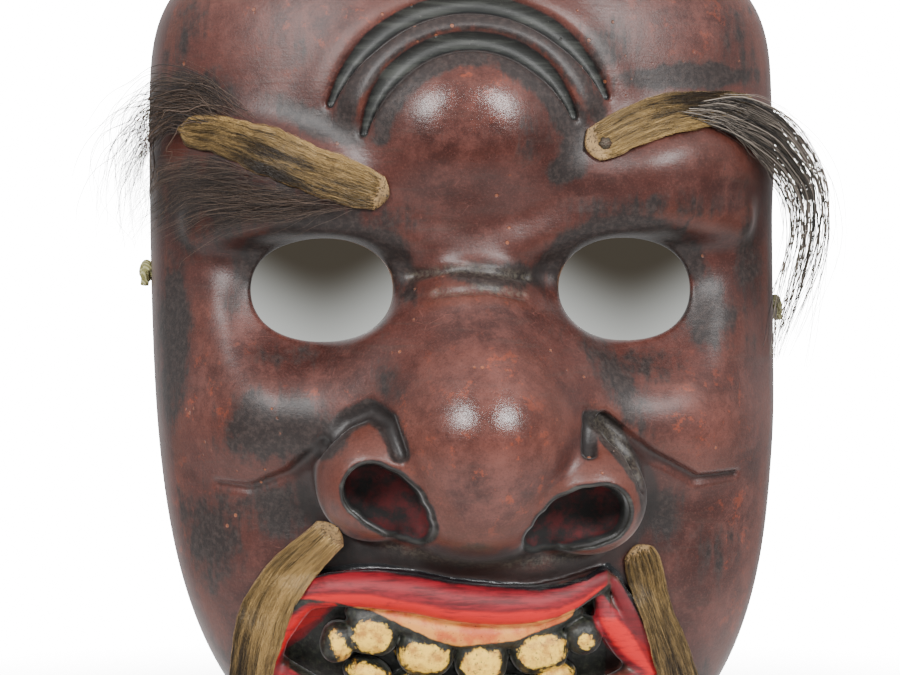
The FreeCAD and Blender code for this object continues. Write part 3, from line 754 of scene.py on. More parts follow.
class NodeBuilder:
    """Node tree, built one value at a time."""

    def __init__(self, tree):
        self.tree = tree

    def add(self, kind, inputs=None, **settings):
        """New node with the given settings and inputs."""
        node = self.tree.nodes.new(kind)
        for name, value in settings.items():
            setattr(node, name, value)
        for name, value in (inputs or {}).items():
            self.feed(node.inputs[name], value)
        return node

    def feed(self, socket, value):
        if isinstance(value, bpy.types.NodeSocket):
            self.tree.links.new(value, socket)
        else:
            socket.default_value = value

    def math(self, operation, first, second=0.5):
        return self.add("ShaderNodeMath", {0: first, 1: second}, operation=operation).outputs[0]

    def times(self, first, second):
        return self.math("MULTIPLY", first, second)

    def plus(self, first, second):
        return self.math("ADD", first, second)

    def minus(self, first, second):
        return self.math("SUBTRACT", first, second)

    def step(self, value, low, high):
        """Smooth step from 0 at low to 1 at high. High may be the lower one."""
        rising = low < high
        inputs = {"Value": value, "From Min": min(low, high), "From Max": max(low, high),
                  "To Min": 0.0 if rising else 1.0, "To Max": 1.0 if rising else 0.0}
        return self.add("ShaderNodeMapRange", inputs, interpolation_type="SMOOTHSTEP").outputs["Result"]

    def mix(self, factor, first, second):
        """Colour between two."""
        return self.add("ShaderNodeMix", {0: factor, 6: first, 7: second}, data_type="RGBA").outputs[2]

    def blend(self, factor, first, second):
        """Number between two."""
        return self.add("ShaderNodeMix", {0: factor, 2: first, 3: second}, data_type="FLOAT").outputs[0]


class Shade(NodeBuilder):
    """Material on one Principled shader. Sizes are in millimetres."""

    def __init__(self, name, roughness=0.5):
        self.material = bpy.data.materials.new(name)
        self.material.use_nodes = True
        super().__init__(self.material.node_tree)
        self.shader = self.tree.nodes["Principled BSDF"]
        self.place = self.add("ShaderNodeTexCoord").outputs["Object"]
        self.set("Roughness", roughness)

    def set(self, name, value):
        self.feed(self.shader.inputs[name], value)

    def scaled(self, size, stretch=(1.0, 1.0, 1.0), seed=0.0, turn=(0.0, 0.0, 0.0)):
        inputs = {"Vector": self.place, "Location": (seed, seed * 1.7, seed * 0.6), "Rotation": turn,
                  "Scale": tuple(1.0 / (size * MM * part) for part in stretch)}
        return self.add("ShaderNodeMapping", inputs).outputs["Vector"]

    def noise(self, size, detail=4.0, rough=0.55, stretch=(1.0, 1.0, 1.0), seed=0.0, distortion=0.0):
        inputs = {"Vector": self.scaled(size, stretch, seed), "Scale": 1.0, "Detail": detail,
                  "Roughness": rough, "Distortion": distortion}
        return self.add("ShaderNodeTexNoise", inputs).outputs["Fac"]

    def cells(self, place, **settings):
        """Distance in a pattern of cells."""
        node = self.add("ShaderNodeTexVoronoi", {"Vector": place, "Scale": 1.0}, **settings)
        return node.outputs["Distance"]

    def field(self, name):
        return self.add("ShaderNodeAttribute", attribute_name=name).outputs["Fac"]

    def inside(self, name, wobble, soft=0.35):
        """1 inside a painted area whose edge wobbles."""
        return self.step(self.plus(self.field(name), wobble), soft, -soft)

    def over(self, colour, cover, strength, top):
        """Colour with another laid over it, at a strength, where the cover is 1."""
        return self.mix(self.times(cover, strength), colour, top)

    def bump(self, height, depth, strength=1.0):
        inputs = {"Strength": strength, "Distance": depth * MM, "Height": height}
        self.set("Normal", self.add("ShaderNodeBump", inputs).outputs["Normal"])


def lacquer_material():
    shade = Shade("worn_lacquer")
    broad = shade.noise(26.0, 5.0, 0.6, seed=3.0)
    mottle = shade.noise(7.0, 8.0, 0.68, seed=9.0)
    fine = shade.noise(1.3, 6.0, 0.7, seed=5.0)
    streak = shade.noise(2.2, 6.0, 0.7, stretch=(9.0, 9.0, 1.0), seed=2.0, distortion=0.4)
    down = shade.noise(2.6, 5.0, 0.65, stretch=(1.0, 3.0, 7.0), seed=7.0, distortion=0.5)
    wobble = shade.times(shade.minus(shade.noise(2.4, 6.0, 0.7, seed=1.0), 0.5), 1.3)

    colour = shade.mix(shade.step(broad, 0.36, 0.66), LACQUER_DARK, LACQUER_MID)
    colour = shade.over(colour, shade.step(mottle, 0.45, 0.68), 0.7, LACQUER_PALE)
    patchy = shade.step(shade.noise(3.2, 7.0, 0.72, seed=27.0), 0.52, 0.7)
    colour = shade.over(colour, patchy, 0.5, LACQUER_DARK)
    colour = shade.over(colour, shade.step(streak, 0.5, 0.72), 0.5, LACQUER_GREY)
    # paler where rubbed, and painted reflection on the strips down the sides
    rubbed_and_sheen = shade.times(shade.field("rubbed_and_sheen"), shade.step(mottle, 0.3, 0.7))
    colour = shade.mix(rubbed_and_sheen, colour, LACQUER_RUBBED_AND_SHEEN)
    high = shade.step(shade.plus(shade.field("relief"), shade.times(fine, 0.5)), 0.45, 1.0)
    colour = shade.over(colour, high, 0.3, LACQUER_WARM)
    orange = shade.step(shade.noise(5.0, 8.0, 0.75, seed=21.0), 0.56, 0.63)
    orange = shade.times(orange, shade.field("rubbed_and_sheen"))
    colour = shade.over(colour, orange, 0.5, LACQUER_ORANGE)
    turned_place = shade.scaled(9.0, (1.0, 1.0, 0.35), 19.0, (0.3, 0.5, 0.9))
    hairline = shade.cells(turned_place, feature="DISTANCE_TO_EDGE")
    scratch = shade.step(shade.plus(hairline, shade.times(fine, 0.05)), 0.036, 0.026)
    scratch = shade.times(scratch, shade.step(shade.noise(14.0, 4.0, 0.6, seed=37.0), 0.52, 0.64))
    colour = shade.over(colour, scratch, 0.55, LACQUER_RUBBED_AND_SHEEN)

    grit = shade.noise(0.55, 3.0, 0.8, seed=71.0)
    colour = shade.over(colour, shade.step(grit, 0.5, 0.7), 0.3, LACQUER_RUBBED_AND_SHEEN)
    colour = shade.over(colour, shade.step(grit, 0.48, 0.3), 0.45, LACQUER_DARK)

    # smoke and painted shade: ragged dark patches that are partly painted shade, then painted shade in hollows
    ragged = shade.plus(shade.field("smoke_and_shade"), shade.times(shade.minus(mottle, 0.5), 1.5))
    ragged = shade.plus(ragged, shade.times(shade.minus(down, 0.5), 0.9))
    smoke_and_shade = shade.times(shade.step(ragged, 0.24, 0.7), 0.95)
    colour = shade.mix(smoke_and_shade, colour, shade.mix(shade.step(fine, 0.4, 0.7), SMOKE_AND_SHADE_DARK, SMOKE_AND_SHADE_GREY))
    # painted shade: darker where the surface lies below its surroundings
    low = shade.step(shade.plus(shade.field("relief"), shade.times(mottle, -0.5)), -0.5, -1.5)
    colour = shade.over(colour, low, 0.75, SMOKE_AND_SHADE_DARK)
    dust = shade.times(shade.field("dust"), shade.step(shade.noise(0.9, 5.0, 0.8, seed=14.0), 0.42, 0.62))
    colour = shade.over(colour, dust, 0.32, DUST)

    # fine dark specks and small chips
    specks = shade.step(shade.noise(0.7, 3.0, 0.8, seed=11.0), 0.66, 0.74)
    colour = shade.over(colour, specks, 0.55, SMOKE_AND_SHADE_DARK)
    chip = shade.step(shade.cells(shade.scaled(4.2, seed=4.0)), 0.13, 0.09)
    chip = shade.times(chip, shade.step(broad, 0.56, 0.6))
    colour = shade.over(colour, chip, 0.45, CHIP)

    # lips, gum, teeth
    worn = shade.step(shade.noise(1.6, 7.0, 0.75, seed=17.0), 0.62, 0.72)
    lip = shade.inside("lip", shade.times(wobble, 0.5))
    bright = shade.inside("bright_lip", shade.times(wobble, 0.4), 0.5)
    lip_streak = shade.noise(1.4, 5.0, 0.7, stretch=(8.0, 2.0, 1.0), seed=31.0)
    dull = shade.mix(shade.step(lip_streak, 0.4, 0.65), LIP_DULL, LIP_DARK)
    glow = shade.mix(shade.step(lip_streak, 0.5, 0.72), LIP_BRIGHT, LIP_DEEP)
    red = shade.mix(bright, dull, glow)
    # darker along the lip crease and in the right fold, with painted shadow at the corners of the mouth
    red = shade.over(red, shade.inside("crease", 0.0, 0.4), 0.7, LIP_DARK)
    red = shade.over(red, shade.step(mottle, 0.58, 0.75), 0.6, LIP_SOOT)
    mouth = shade.inside("mouth", shade.times(wobble, 0.5))
    frame_colour = shade.mix(shade.step(fine, 0.45, 0.7), FRAME_DARK, FRAME_GREY)
    colour = shade.mix(mouth, colour, frame_colour)
    colour = shade.mix(lip, colour, red)
    gum = shade.inside("gum", shade.times(wobble, 0.9), 0.25)
    flesh = shade.mix(shade.step(shade.noise(6.0, 5.0, 0.6, seed=41.0), 0.4, 0.62), GUM_CREAM, GUM_ORANGE)
    flesh = shade.mix(shade.step(shade.noise(1.1, 5.0, 0.8, seed=43.0), 0.6, 0.68), flesh, FRAME_DARK)
    colour = shade.mix(gum, colour, flesh)
    gilt_wobble = shade.times(shade.minus(shade.noise(2.0, 7.0, 0.75, seed=47.0), 0.5), 5.0)
    gilt = shade.inside("gilt", gilt_wobble, 0.3)
    gold = shade.mix(shade.step(shade.noise(3.0, 6.0, 0.7, seed=53.0), 0.4, 0.66), GILT_PALE, GILT_DEEP)
    gold = shade.mix(shade.step(shade.noise(1.0, 5.0, 0.8, seed=59.0), 0.58, 0.66), gold, FRAME_GREY)
    colour = shade.mix(gilt, colour, gold)

    # nostrils, then black outlines worn to grey
    pit = shade.step(shade.field("nostril"), 0.3, -0.6)
    pit_colour = shade.mix(shade.step(mottle, 0.42, 0.66), PIT_BLACK, PIT_RED)
    colour = shade.mix(pit, colour, pit_colour)
    black = shade.inside("black", shade.times(wobble, 0.55), 0.3)
    ink = shade.over(INK, shade.step(streak, 0.5, 0.7), 0.6, INK_WORN)
    worn_arch = shade.times(worn, shade.inside("arch", 0.4, 0.4))
    arch_ink = shade.mix(shade.step(streak, 0.42, 0.68), ARCH_INK, ARCH_GREY)
    ink = shade.mix(shade.inside("arch", 0.2, 0.4), ink, arch_ink)
    ink = shade.mix(worn_arch, ink, INK_WORN)
    colour = shade.over(colour, black, 0.96, ink)

    # bare oiled wood behind
    grain = shade.noise(1.1, 6.0, 0.6, stretch=(1.0, 1.0, 22.0), seed=61.0, distortion=0.8)
    wood = shade.mix(shade.step(grain, 0.35, 0.68), WOOD_DARK, WOOD_PALE)
    wood = shade.over(wood, shade.step(mottle, 0.5, 0.75), 0.6, WOOD_STAIN)
    bare = shade.step(shade.plus(shade.field("bare"), shade.times(wobble, 0.4)), 0.35, 0.6)
    colour = shade.mix(bare, colour, wood)
    shade.set("Base Color", colour)

    rough = shade.blend(shade.field("rubbed_and_sheen"), shade.blend(mottle, 0.28, 0.46), 0.52)
    rough = shade.blend(shade.field("polish"), rough, 0.17)
    rough = shade.blend(smoke_and_shade, rough, 0.44)
    rough = shade.blend(lip, rough, 0.55)
    rough = shade.blend(black, rough, shade.blend(shade.inside("arch", 0.2, 0.4), 0.24, 0.48))
    rough = shade.blend(gilt, rough, 0.45)
    rough = shade.blend(pit, rough, 0.75)
    shade.set("Roughness", shade.blend(bare, rough, 0.72))
    height = shade.plus(shade.times(fine, 0.35), shade.times(streak, 0.35))
    height = shade.plus(height, shade.times(shade.math("MAXIMUM", mouth, bare), fine))
    height = shade.plus(height, shade.times(grit, 0.3))
    height = shade.plus(height, shade.times(black, 0.25))
    height = shade.minus(height, chip)
    shade.bump(height, 0.22, 0.7)
    shade.set("Sheen Weight", 0.22)
    shade.set("Sheen Roughness", 0.3)
    return shade.material


LACQUER_DARK = tone(54, 28, 24)
LACQUER_MID = tone(80, 45, 39)
LACQUER_PALE = tone(98, 59, 52)
LACQUER_GREY = tone(70, 53, 48)
LACQUER_RUBBED_AND_SHEEN = tone(118, 72, 64)
LACQUER_WARM = tone(110, 58, 42)
LACQUER_ORANGE = tone(184, 82, 46)
SMOKE_AND_SHADE_DARK = tone(33, 28, 27)
SMOKE_AND_SHADE_GREY = tone(60, 51, 48)
DUST = tone(120, 114, 98)
CHIP = tone(176, 104, 68)
LIP_DULL = tone(140, 24, 36)
LIP_DARK = tone(88, 14, 22)
LIP_BRIGHT = tone(200, 0, 14)
LIP_DEEP = tone(136, 4, 16)
LIP_SOOT = tone(56, 22, 24)
FRAME_DARK = tone(26, 28, 24)
FRAME_GREY = tone(58, 60, 50)
GUM_CREAM = tone(224, 148, 68)
GUM_ORANGE = tone(198, 92, 42)
GILT_PALE = tone(255, 206, 78)
GILT_DEEP = tone(186, 126, 48)
PIT_BLACK = tone(20, 14, 14)
PIT_RED = tone(84, 16, 20)
INK = tone(18, 23, 27)
INK_WORN = tone(92, 92, 86)
ARCH_INK = tone(34, 36, 34)
ARCH_GREY = tone(62, 64, 60)
WOOD_DARK = tone(78, 50, 32)
WOOD_PALE = tone(132, 92, 60)
WOOD_STAIN = tone(56, 38, 28)
carving.data.materials.append(lacquer_material())


def hair_material(name, dark, pale, roughness):
    """Hair whose strands take their colour from the tint of each one."""
    shade = Shade(name, roughness)
    tint = shade.plus(shade.field("tint"), shade.times(shade.noise(3.0, 3.0, seed=5.0), 0.3))
    shade.set("Base Color", shade.mix(shade.step(tint, 0.15, 1.15), dark, pale))
    return shade.material


def skin_material():
    """Stiff skin under the fur, with the stubble of worn hair."""
    shade = Shade("dry_skin", 0.6)
    stubble = shade.step(shade.noise(0.5, 3.0, 0.7, seed=3.0), 0.5, 0.62)
    blotch = shade.noise(5.0, 6.0, 0.65, seed=8.0)
    colour = shade.mix(shade.step(blotch, 0.35, 0.7), tone(160, 128, 84), tone(112, 88, 58))
    shade.set("Base Color", shade.over(colour, stubble, 0.9, tone(40, 32, 25)))
    shade.bump(shade.noise(0.6, 4.0, 0.7, seed=12.0), 0.25)
    return shade.material


def cord_material():
    """Soft yellow-green fibre with the lay of its twist."""
    shade = Shade("cord_fibre", 0.8)
    inputs = {"Vector": shade.scaled(1.0), "Scale": 0.42, "Distortion": 1.2}
    lay = shade.add("ShaderNodeTexWave", inputs, wave_type="BANDS", bands_direction="DIAGONAL").outputs["Fac"]
    fuzz = shade.noise(0.4, 4.0, 0.7, seed=2.0)
    # painted shade: darker in the low bands of the lay, where the bump sinks the surface
    colour = shade.mix(shade.step(lay, 0.2, 0.8), tone(150, 146, 92), tone(208, 204, 150))
    shade.set("Base Color", shade.over(colour, shade.step(fuzz, 0.5, 0.7), 0.5, tone(120, 112, 72)))
    shade.bump(shade.plus(lay, fuzz), 0.3)
    return shade.material


def iron_material():
    shade = Shade("old_iron", 0.5)
    rust = shade.noise(0.8, 6.0, 0.7, seed=6.0)
    shade.set("Base Color", shade.mix(shade.step(rust, 0.42, 0.62), tone(96, 90, 80), tone(70, 50, 36)))
    shade.set("Metallic", shade.step(rust, 0.6, 0.45))
    shade.bump(rust, 0.12)
    return shade.material


DARK_HAIR = hair_material("dark_hair", tone(28, 25, 23), tone(150, 138, 126), 0.4)
SOOT_HAIR = hair_material("soot_hair", tone(34, 27, 24), tone(112, 92, 78), 0.5)
BROWN_FUR = hair_material("brown_fur", tone(42, 32, 21), tone(186, 152, 96), 0.42)
SKIN = skin_material()
FIBRE = cord_material()
IRON = iron_material()


# ---------------------------------------------------------------- meshes of strands and strips

def add_piece(name, points, faces, material, smooth=True):
    """Mesh piece from (x, p, z) places in millimetres."""
    verts = np.stack([points[:, 0], -points[:, 1], points[:, 2]], 1) * MM
    mesh = bpy.data.meshes.new(name)
    mesh.from_pydata(verts.tolist(), [], faces)
    mesh.validate()
    mesh.polygons.foreach_set("use_smooth", [smooth] * len(mesh.polygons))
    mesh.materials.append(material)
    piece = place_object(name, mesh)
    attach(piece, "root")
    return piece


def strand_piece(name, strands, radii, tints, material):
    """Closed three-sided hairs along strands of (count, points, 3), with a radius at each point."""
    count, points, _ = strands.shape
    along = np.gradient(strands, axis=1)
    along /= np.linalg.norm(along, axis=2, keepdims=True) + 1e-9
    side = np.cross(along, np.array([0.0, 1.0, 0.0]))
    side /= np.linalg.norm(side, axis=2, keepdims=True) + 1e-9
    up = np.cross(side, along)
    rings = []
    for corner in range(3):
        turn = 2.0 * math.pi * corner / 3.0
        rings.append(strands + (side * math.cos(turn) + up * math.sin(turn)) * radii[:, :, None])
    verts = np.stack(rings, 2).reshape(-1, 3)
    base = (np.arange(count) * points * 3)[:, None]
    ring = (np.arange(points - 1) * 3)[None, :]
    start = (base + ring).reshape(-1)
    faces = []
    for corner in range(3):
        after = (corner + 1) % 3
        quads = np.stack([start + corner, start + after, start + 3 + after, start + 3 + corner], 1)
        faces.extend(quads.tolist())
    first = base[:, 0]
    last = first + (points - 1) * 3
    faces.extend(np.stack([first + 2, first + 1, first], 1).tolist())
    faces.extend(np.stack([last, last + 1, last + 2], 1).tolist())
    piece = add_piece(name, verts, faces, material)
    add_fields(piece, {"tint": np.repeat(tints, points * 3)})
    return piece


def ring_faces(rings, sides, first=0):
    """Quads between rings of points that follow each other."""
    faces = []
    for ring in range(rings - 1):
        for k in range(sides):
            a = first + ring * sides + k
            b = first + ring * sides + (k + 1) % sides
            faces.append((a, b, b + sides, a + sides))
    return faces


def smoothed(points, count):
    """Even points along a path of straight runs whose corners are rounded off."""
    points = np.array(points, float)
    steps = np.hypot(*np.diff(points[:, :2], axis=0).T)
    length = np.concatenate([[0.0], np.cumsum(steps)])
    dense = np.linspace(0.0, length[-1], 8 * count)
    line = np.stack([np.interp(dense, length, points[:, k]) for k in range(points.shape[1])], 1)
    ends = line[[0, -1]].copy()
    for _ in range(6 * count):
        line[1:-1] = 0.25 * (line[:-2] + 2.0 * line[1:-1] + line[2:])
    line[[0, -1]] = ends
    return line[np.linspace(0, len(line) - 1, count).astype(int)], length[-1]


HIDE_THICKNESS = 1.5
HIDE_STEPS = 60
STRIP_ROWS = 90
STRIP_COLUMNS = 15
DRAPE_SLOPE = 0.85


def strip_grid():
    """Even places u along and v across a strip."""
    across = np.linspace(-1.0, 1.0, STRIP_COLUMNS)
    return np.meshgrid(np.linspace(0.0, 1.0, STRIP_ROWS), across, indexing="ij")


class Hide:
    """Strip of stiff skin that lies on the face, given by its centre line and half widths."""

    def __init__(self, stations, ragged):
        self.line, self.length = smoothed(stations, HIDE_STEPS)
        run = np.gradient(self.line[:, :2], axis=0)
        run /= np.linalg.norm(run, axis=1, keepdims=True)
        self.run = run
        self.side = np.stack([-run[:, 1], run[:, 0]], 1)
        self.edges = []
        for phase in rng.random(2) * 6.0:
            u = np.linspace(0.0, 1.0, HIDE_STEPS)
            wave = np.sin(u * 17.0 + phase) + 0.6 * np.sin(u * 41.0 + 2.0 * phase)
            wave = wave + 0.5 * np.sin(u * 83.0 + phase)
            self.edges.append(1.0 + ragged * wave * (0.3 + 0.7 * u))
        x, z = self.plan(*strip_grid())
        spots = np.stack([x.ravel(), z.ravel()], 1)
        away = np.linalg.norm(spots[:, None] - spots[None, :], axis=2)
        drape = (face.at(x, z).ravel()[None, :] - DRAPE_SLOPE * away).max(axis=1)
        self.drape = blurred(drape.reshape(x.shape), 1, 1)

    def plan(self, u, v):
        """Place in the plane of the face, for u along the strip and v from -1 to 1 across it."""
        at = np.clip(u, 0.0, 1.0) * (HIDE_STEPS - 1)
        steps = np.arange(HIDE_STEPS)
        columns = [np.interp(at, steps, column) for column in (*self.line.T, *self.side.T, *self.edges)]
        x, z, width, side_x, side_z, low_edge, high_edge = columns
        reach = v * width * np.where(v < 0, low_edge, high_edge)
        reach = reach * np.sqrt(np.clip(u / 0.045, 0.02, 1.0)) * np.sqrt(np.clip((1.0 - u) / 0.03, 0.02, 1.0))
        return x + side_x * reach, z + side_z * reach

    def top(self, u, v):
        """Height of the skin's upper side. The skin is stiff, so it bridges steep places of the face."""
        row = np.clip(u, 0.0, 1.0) * (STRIP_ROWS - 1.001)
        column = (np.clip(v, -1.0, 1.0) + 1.0) * 0.5 * (STRIP_COLUMNS - 1.001)
        level = between_cells(self.drape.T, column, row)
        return level + HIDE_THICKNESS * (1.0 - 0.35 * np.abs(np.clip(v, -1.0, 1.0)) ** 3)

    def slab(self, name):
        """The skin itself, as a closed slab."""
        u, v = strip_grid()
        x, z = self.plan(u, v)
        lump = 0.18 * np.sin(u * 60.0 + 3.0 * v) * np.sin(v * 7.0 + u * 23.0)
        height = self.top(u, v)
        top = np.stack([x, height + lump, z], 2).reshape(-1, 3)
        foot = np.stack([x, np.maximum(face.at(x, z) - 0.5, height - 2.0), z], 2).reshape(-1, 3)
        below = STRIP_ROWS * STRIP_COLUMNS
        index = np.arange(below).reshape(STRIP_ROWS, STRIP_COLUMNS)
        faces = []
        corners = index[:-1, :-1], index[1:, :-1], index[1:, 1:], index[:-1, 1:]
        for a, b, c, d in zip(*(corner.flat for corner in corners)):
            faces.append((a, b, c, d))
            faces.append((d + below, c + below, b + below, a + below))
        border = [*index[0, :], *index[1:, -1], *index[-1, -2::-1], *index[-2:0:-1, 0]]
        for a, b in zip(border, border[1:] + border[:1]):
            faces.append((a, b, b + below, a + below))
        faces = [tuple(int(k) for k in face_points) for face_points in faces]
        return add_piece(name, np.concatenate([top, foot]), faces, SKIN)

    def fur(self, name, count, length, tint_at, thickness=0.075, bald=0.08):
        """Short fur that lies along the strip."""
        points = 6
        share = np.linspace(0.0, 1.0, points)[None, :]
        u = (bald + (1.0 - bald) * rng.random(count) ** 0.9)[:, None]
        v = rng.uniform(-0.95, 0.95, count)[:, None]
        reach = (length * rng.uniform(0.5, 1.2, count) / self.length)[:, None]
        along = np.minimum(u + reach * share, 0.96 + 0.05 * share)
        lean = rng.normal(0.0, 0.06, count)[:, None] + 0.06 * np.sin(u * 21.0 + 5.0 * v)
        ripple = 0.02 * np.sin(share * 5.0 + rng.random(count)[:, None] * 6.0)
        across = np.clip(v + lean * share, -1.03, 1.03) + ripple
        x, z = self.plan(along, across)
        past = np.maximum(along - 1.0, 0.0) * self.length
        x = x + past * self.run[-1, 0]
        z = z + past * self.run[-1, 1]
        lift = rng.uniform(0.08, 0.55, count)[:, None]
        p = self.top(along, across) + 0.05 + lift * np.sin(share * 2.4)
        tints = np.clip(tint_at(u[:, 0], v[:, 0]) + rng.normal(0.0, 0.1, count), 0.0, 1.0)
        radii = thickness * rng.uniform(0.7, 1.25, count)[:, None] * (1.0 - 0.75 * share)
        return strand_piece(name, np.stack([x, p, z], 2), radii, tints, BROWN_FUR)


class Lanes:
    """Irregular pale and dark lanes that run along a strip of fur."""

    def __init__(self, middle, swing):
        self.middle = middle
        self.table = rng.normal(0.0, swing, (7, 40))

    def __call__(self, u, v):
        across = np.clip((v + 1.0) * 19.4, 0.0, 38.9)
        along = np.clip(u, 0.0, 1.0) * 5.99
        return self.middle(u, v) + between_cells(self.table.T, across, along)


def worn_spot(u, centre):
    """1 at a share along the strip, fading to both sides of it."""
    return np.exp(-((u - centre) / 0.22) ** 2)


def left_brow_middle(u, v):
    return 0.5 + 0.3 * (v < -0.75) - 0.34 * worn_spot(u, 0.5) * (v > -0.3) - 0.15 * (v > 0.6)


def right_brow_middle(u, v):
    return 0.46 + 0.12 * (v < -0.3) - 0.4 * worn_spot(u, 0.62) * (v > -0.5)


left_brow_tint = Lanes(left_brow_middle, 0.24)
right_brow_tint = Lanes(right_brow_middle, 0.22)
left_moustache_tint = Lanes(lambda u, v: 0.62 - 0.7 * np.maximum(u - 0.3, 0.0) + 0.3 * v * u, 0.24)
right_moustache_tint = Lanes(lambda u, v: 0.34 - 0.1 * u, 0.2)


# Hide strips: node, centre line and half widths, ragged edge, hairs, hair length, tint, bald share.
HIDES = [
    ("brow_hide_left", [(-19.8, 143.2, 3.6), (-25, 144.8, 4.8), (-32, 147.4, 5.4), (-40, 150.4, 5.8),
                        (-50, 154.8, 5.6), (-60, 158.6, 4.8), (-69, 160, 3)], 0.07, 5200, 8,
     left_brow_tint, 0.05),
    ("brow_hide_right", [(26.6, 154.8, 3.6), (32, 157, 4.7), (38, 160.4, 4.9), (45.5, 163.2, 5),
                         (54.5, 164.8, 4.8), (62, 166, 3.8), (70.5, 167.4, 2.4)], 0.04, 4800, 8,
     right_brow_tint, 0.07),
    ("moustache_hide_left", [(-31.9, 66.6, 4.1), (-37.2, 61, 4.5), (-42.6, 55.4, 4.9), (-46.2, 50.6, 5.3),
                             (-49.2, 44.2, 5.9), (-51.4, 34.8, 5.4), (-52.5, 26, 5), (-52.6, 20, 4)],
     0.03, 6000, 9, left_moustache_tint, 0.05),
    ("moustache_hide_right", [(39.4, 60.8, 3.4), (41.2, 56.4, 4.6), (43.2, 48.8, 4.3), (45.6, 41.6, 4.3),
                              (48.2, 35.6, 4.9), (50.2, 29.5, 5.3), (51.8, 24, 5), (53, 19, 3.8)],
     0.04, 4600, 10, right_moustache_tint, 0.03),
]
for node, stations, ragged, count, length, tint_at, bald in HIDES:
    strip = Hide(stations, ragged)
    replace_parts(strip.slab(node.replace("hide", "skin")), node)
    strip.fur(node.replace("hide", "fur"), count, length, tint_at, bald=bald)


# ---------------------------------------------------------------- long brow hair

def tuft(name, node, guides, count, spread, fall, lengths, wave, thickness, material, points=16):
    """Long hairs between guide paths in the plane of the face. They lie on it and sink slowly beyond it."""
    paths = np.stack([smoothed(guide, 64)[0] for guide in guides])
    pick = rng.random(count) * (len(guides) - 1)
    lower = pick.astype(int)
    part = (pick - lower)[:, None, None]
    flow = paths[lower] * (1.0 - part) + paths[np.minimum(lower + 1, len(guides) - 1)] * part
    begin = 0.38 * rng.random(count)
    end = np.minimum(begin + rng.uniform(*lengths, count), 1.0)
    share = np.linspace(0.0, 1.0, points)[None, :]
    at = (begin[:, None] + (end - begin)[:, None] * share) * 63.0
    low = np.clip(at.astype(int), 0, 62)
    rest = (at - low)[:, :, None]
    rows = np.arange(count)[:, None]
    plan = flow[rows, low] * (1.0 - rest) + flow[rows, low + 1] * rest
    run = np.gradient(plan, axis=1)
    run /= np.linalg.norm(run, axis=2, keepdims=True) + 1e-9
    side = np.stack([-run[:, :, 1], run[:, :, 0]], 2)
    # the unused draw keeps every later hair where it was
    rng.normal(0.0, 1.0, count)
    drift = rng.normal(0.0, 1.0, count)[:, None] * spread * (0.15 + share ** 1.3)
    phase = rng.random((3, count))[:, :, None] * 6.3
    bend = np.sin(share * rng.uniform(2.0, 5.5, count)[:, None] + phase[0]) - np.sin(phase[0])
    kink = 0.25 * (np.sin(share * rng.uniform(7.0, 16.0, count)[:, None] + phase[1]) - np.sin(phase[1]))
    drift = drift + wave * rng.uniform(0.3, 1.6, count)[:, None] * (bend + kink)
    plan = plan + side * drift[:, :, None]
    step = np.linalg.norm(np.diff(plan, axis=1), axis=2)
    clear = rng.uniform(0.3, 3.2, count)[:, None] * (0.25 + share) + 1.2
    ground = face.at(plan[:, :, 0], plan[:, :, 1])
    inside = outline_level(plan[:, :, 0], plan[:, :, 1]) < 1.0
    p = np.where(inside, ground, 0.0) + clear
    for k in range(1, points):
        p[:, k] = np.maximum(p[:, k], p[:, k - 1] - fall * step[:, k - 1])
    p = p + 0.6 * wave * np.sin(share * 7.0 + phase[2]) * share
    radii = thickness * rng.uniform(0.6, 1.3, count)[:, None] * (1.0 - 0.7 * share ** 2)
    tints = rng.random(count) ** 1.6
    strands = np.stack([plan[:, :, 0], p, plan[:, :, 1]], 2)
    piece = strand_piece(name, strands, radii, tints, material)
    if node:
        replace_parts(piece, node)


LEFT_LOW_GUIDES = [
    [(-27, 140.5), (-42, 138), (-58, 137), (-72, 132), (-80, 121)],
    [(-32, 142), (-48, 141), (-64, 141), (-77, 134), (-82, 120)],
    [(-42, 144.5), (-56, 146), (-70, 146), (-80, 137), (-83, 122)],
    [(-55, 151), (-65, 154), (-75, 152), (-82, 142), (-82, 126)],
]
LEFT_HIGH_GUIDES = [
    [(-66, 158), (-73, 160), (-79, 155), (-83, 144), (-82, 130)],
    [(-58, 162), (-68, 167), (-77, 165), (-83, 156), (-83, 142)],
    [(-50, 161), (-62, 171), (-74, 173), (-82, 165), (-84, 150)],
]
RIGHT_GUIDES = [
    [(58, 160.5), (66, 158), (73, 152), (79, 144.5), (80.5, 135), (78.5, 122), (76, 106)],
    [(47, 164.2), (60, 163.5), (74, 157.5), (83, 147), (84.5, 135), (81.5, 120), (77.5, 105)],
    [(52, 166), (64, 167), (77, 161.5), (87.5, 149), (88.5, 136), (84.5, 120), (79.5, 107)],
    [(62, 169), (70, 169), (79, 165), (88, 155.5), (92, 143), (91, 131), (84.5, 112)],
]
tuft("brow_hair_left_low", "brow_hair_left", LEFT_LOW_GUIDES, 620, 2.2, 0.35, (0.2, 0.5), 0.8, 0.04, SOOT_HAIR)
tuft("brow_hair_left_high", None, LEFT_HIGH_GUIDES, 380, 2.2, 0.35, (0.3, 0.7), 1.2, 0.042, SOOT_HAIR)
tuft("brow_hair_right_strands", "brow_hair_right", RIGHT_GUIDES, 640, 0.9, 0.32, (0.12, 0.34), 0.5, 0.07,
     DARK_HAIR)
tuft("brow_hair_right_long", None, RIGHT_GUIDES, 84, 0.9, 0.32, (0.6, 1.0), 1.1, 0.15, DARK_HAIR, 30)
tuft("brow_hair_left_frizz", None, LEFT_HIGH_GUIDES, 60, 3.0, 0.3, (0.5, 1.0), 3.0, 0.1, SOOT_HAIR, 30)
tuft("brow_hair_right_frizz", None, RIGHT_GUIDES[1:], 30, 2.6, 0.3, (0.5, 1.0), 2.4, 0.1, DARK_HAIR, 26)


# ---------------------------------------------------------------- nail, knots, cord finish

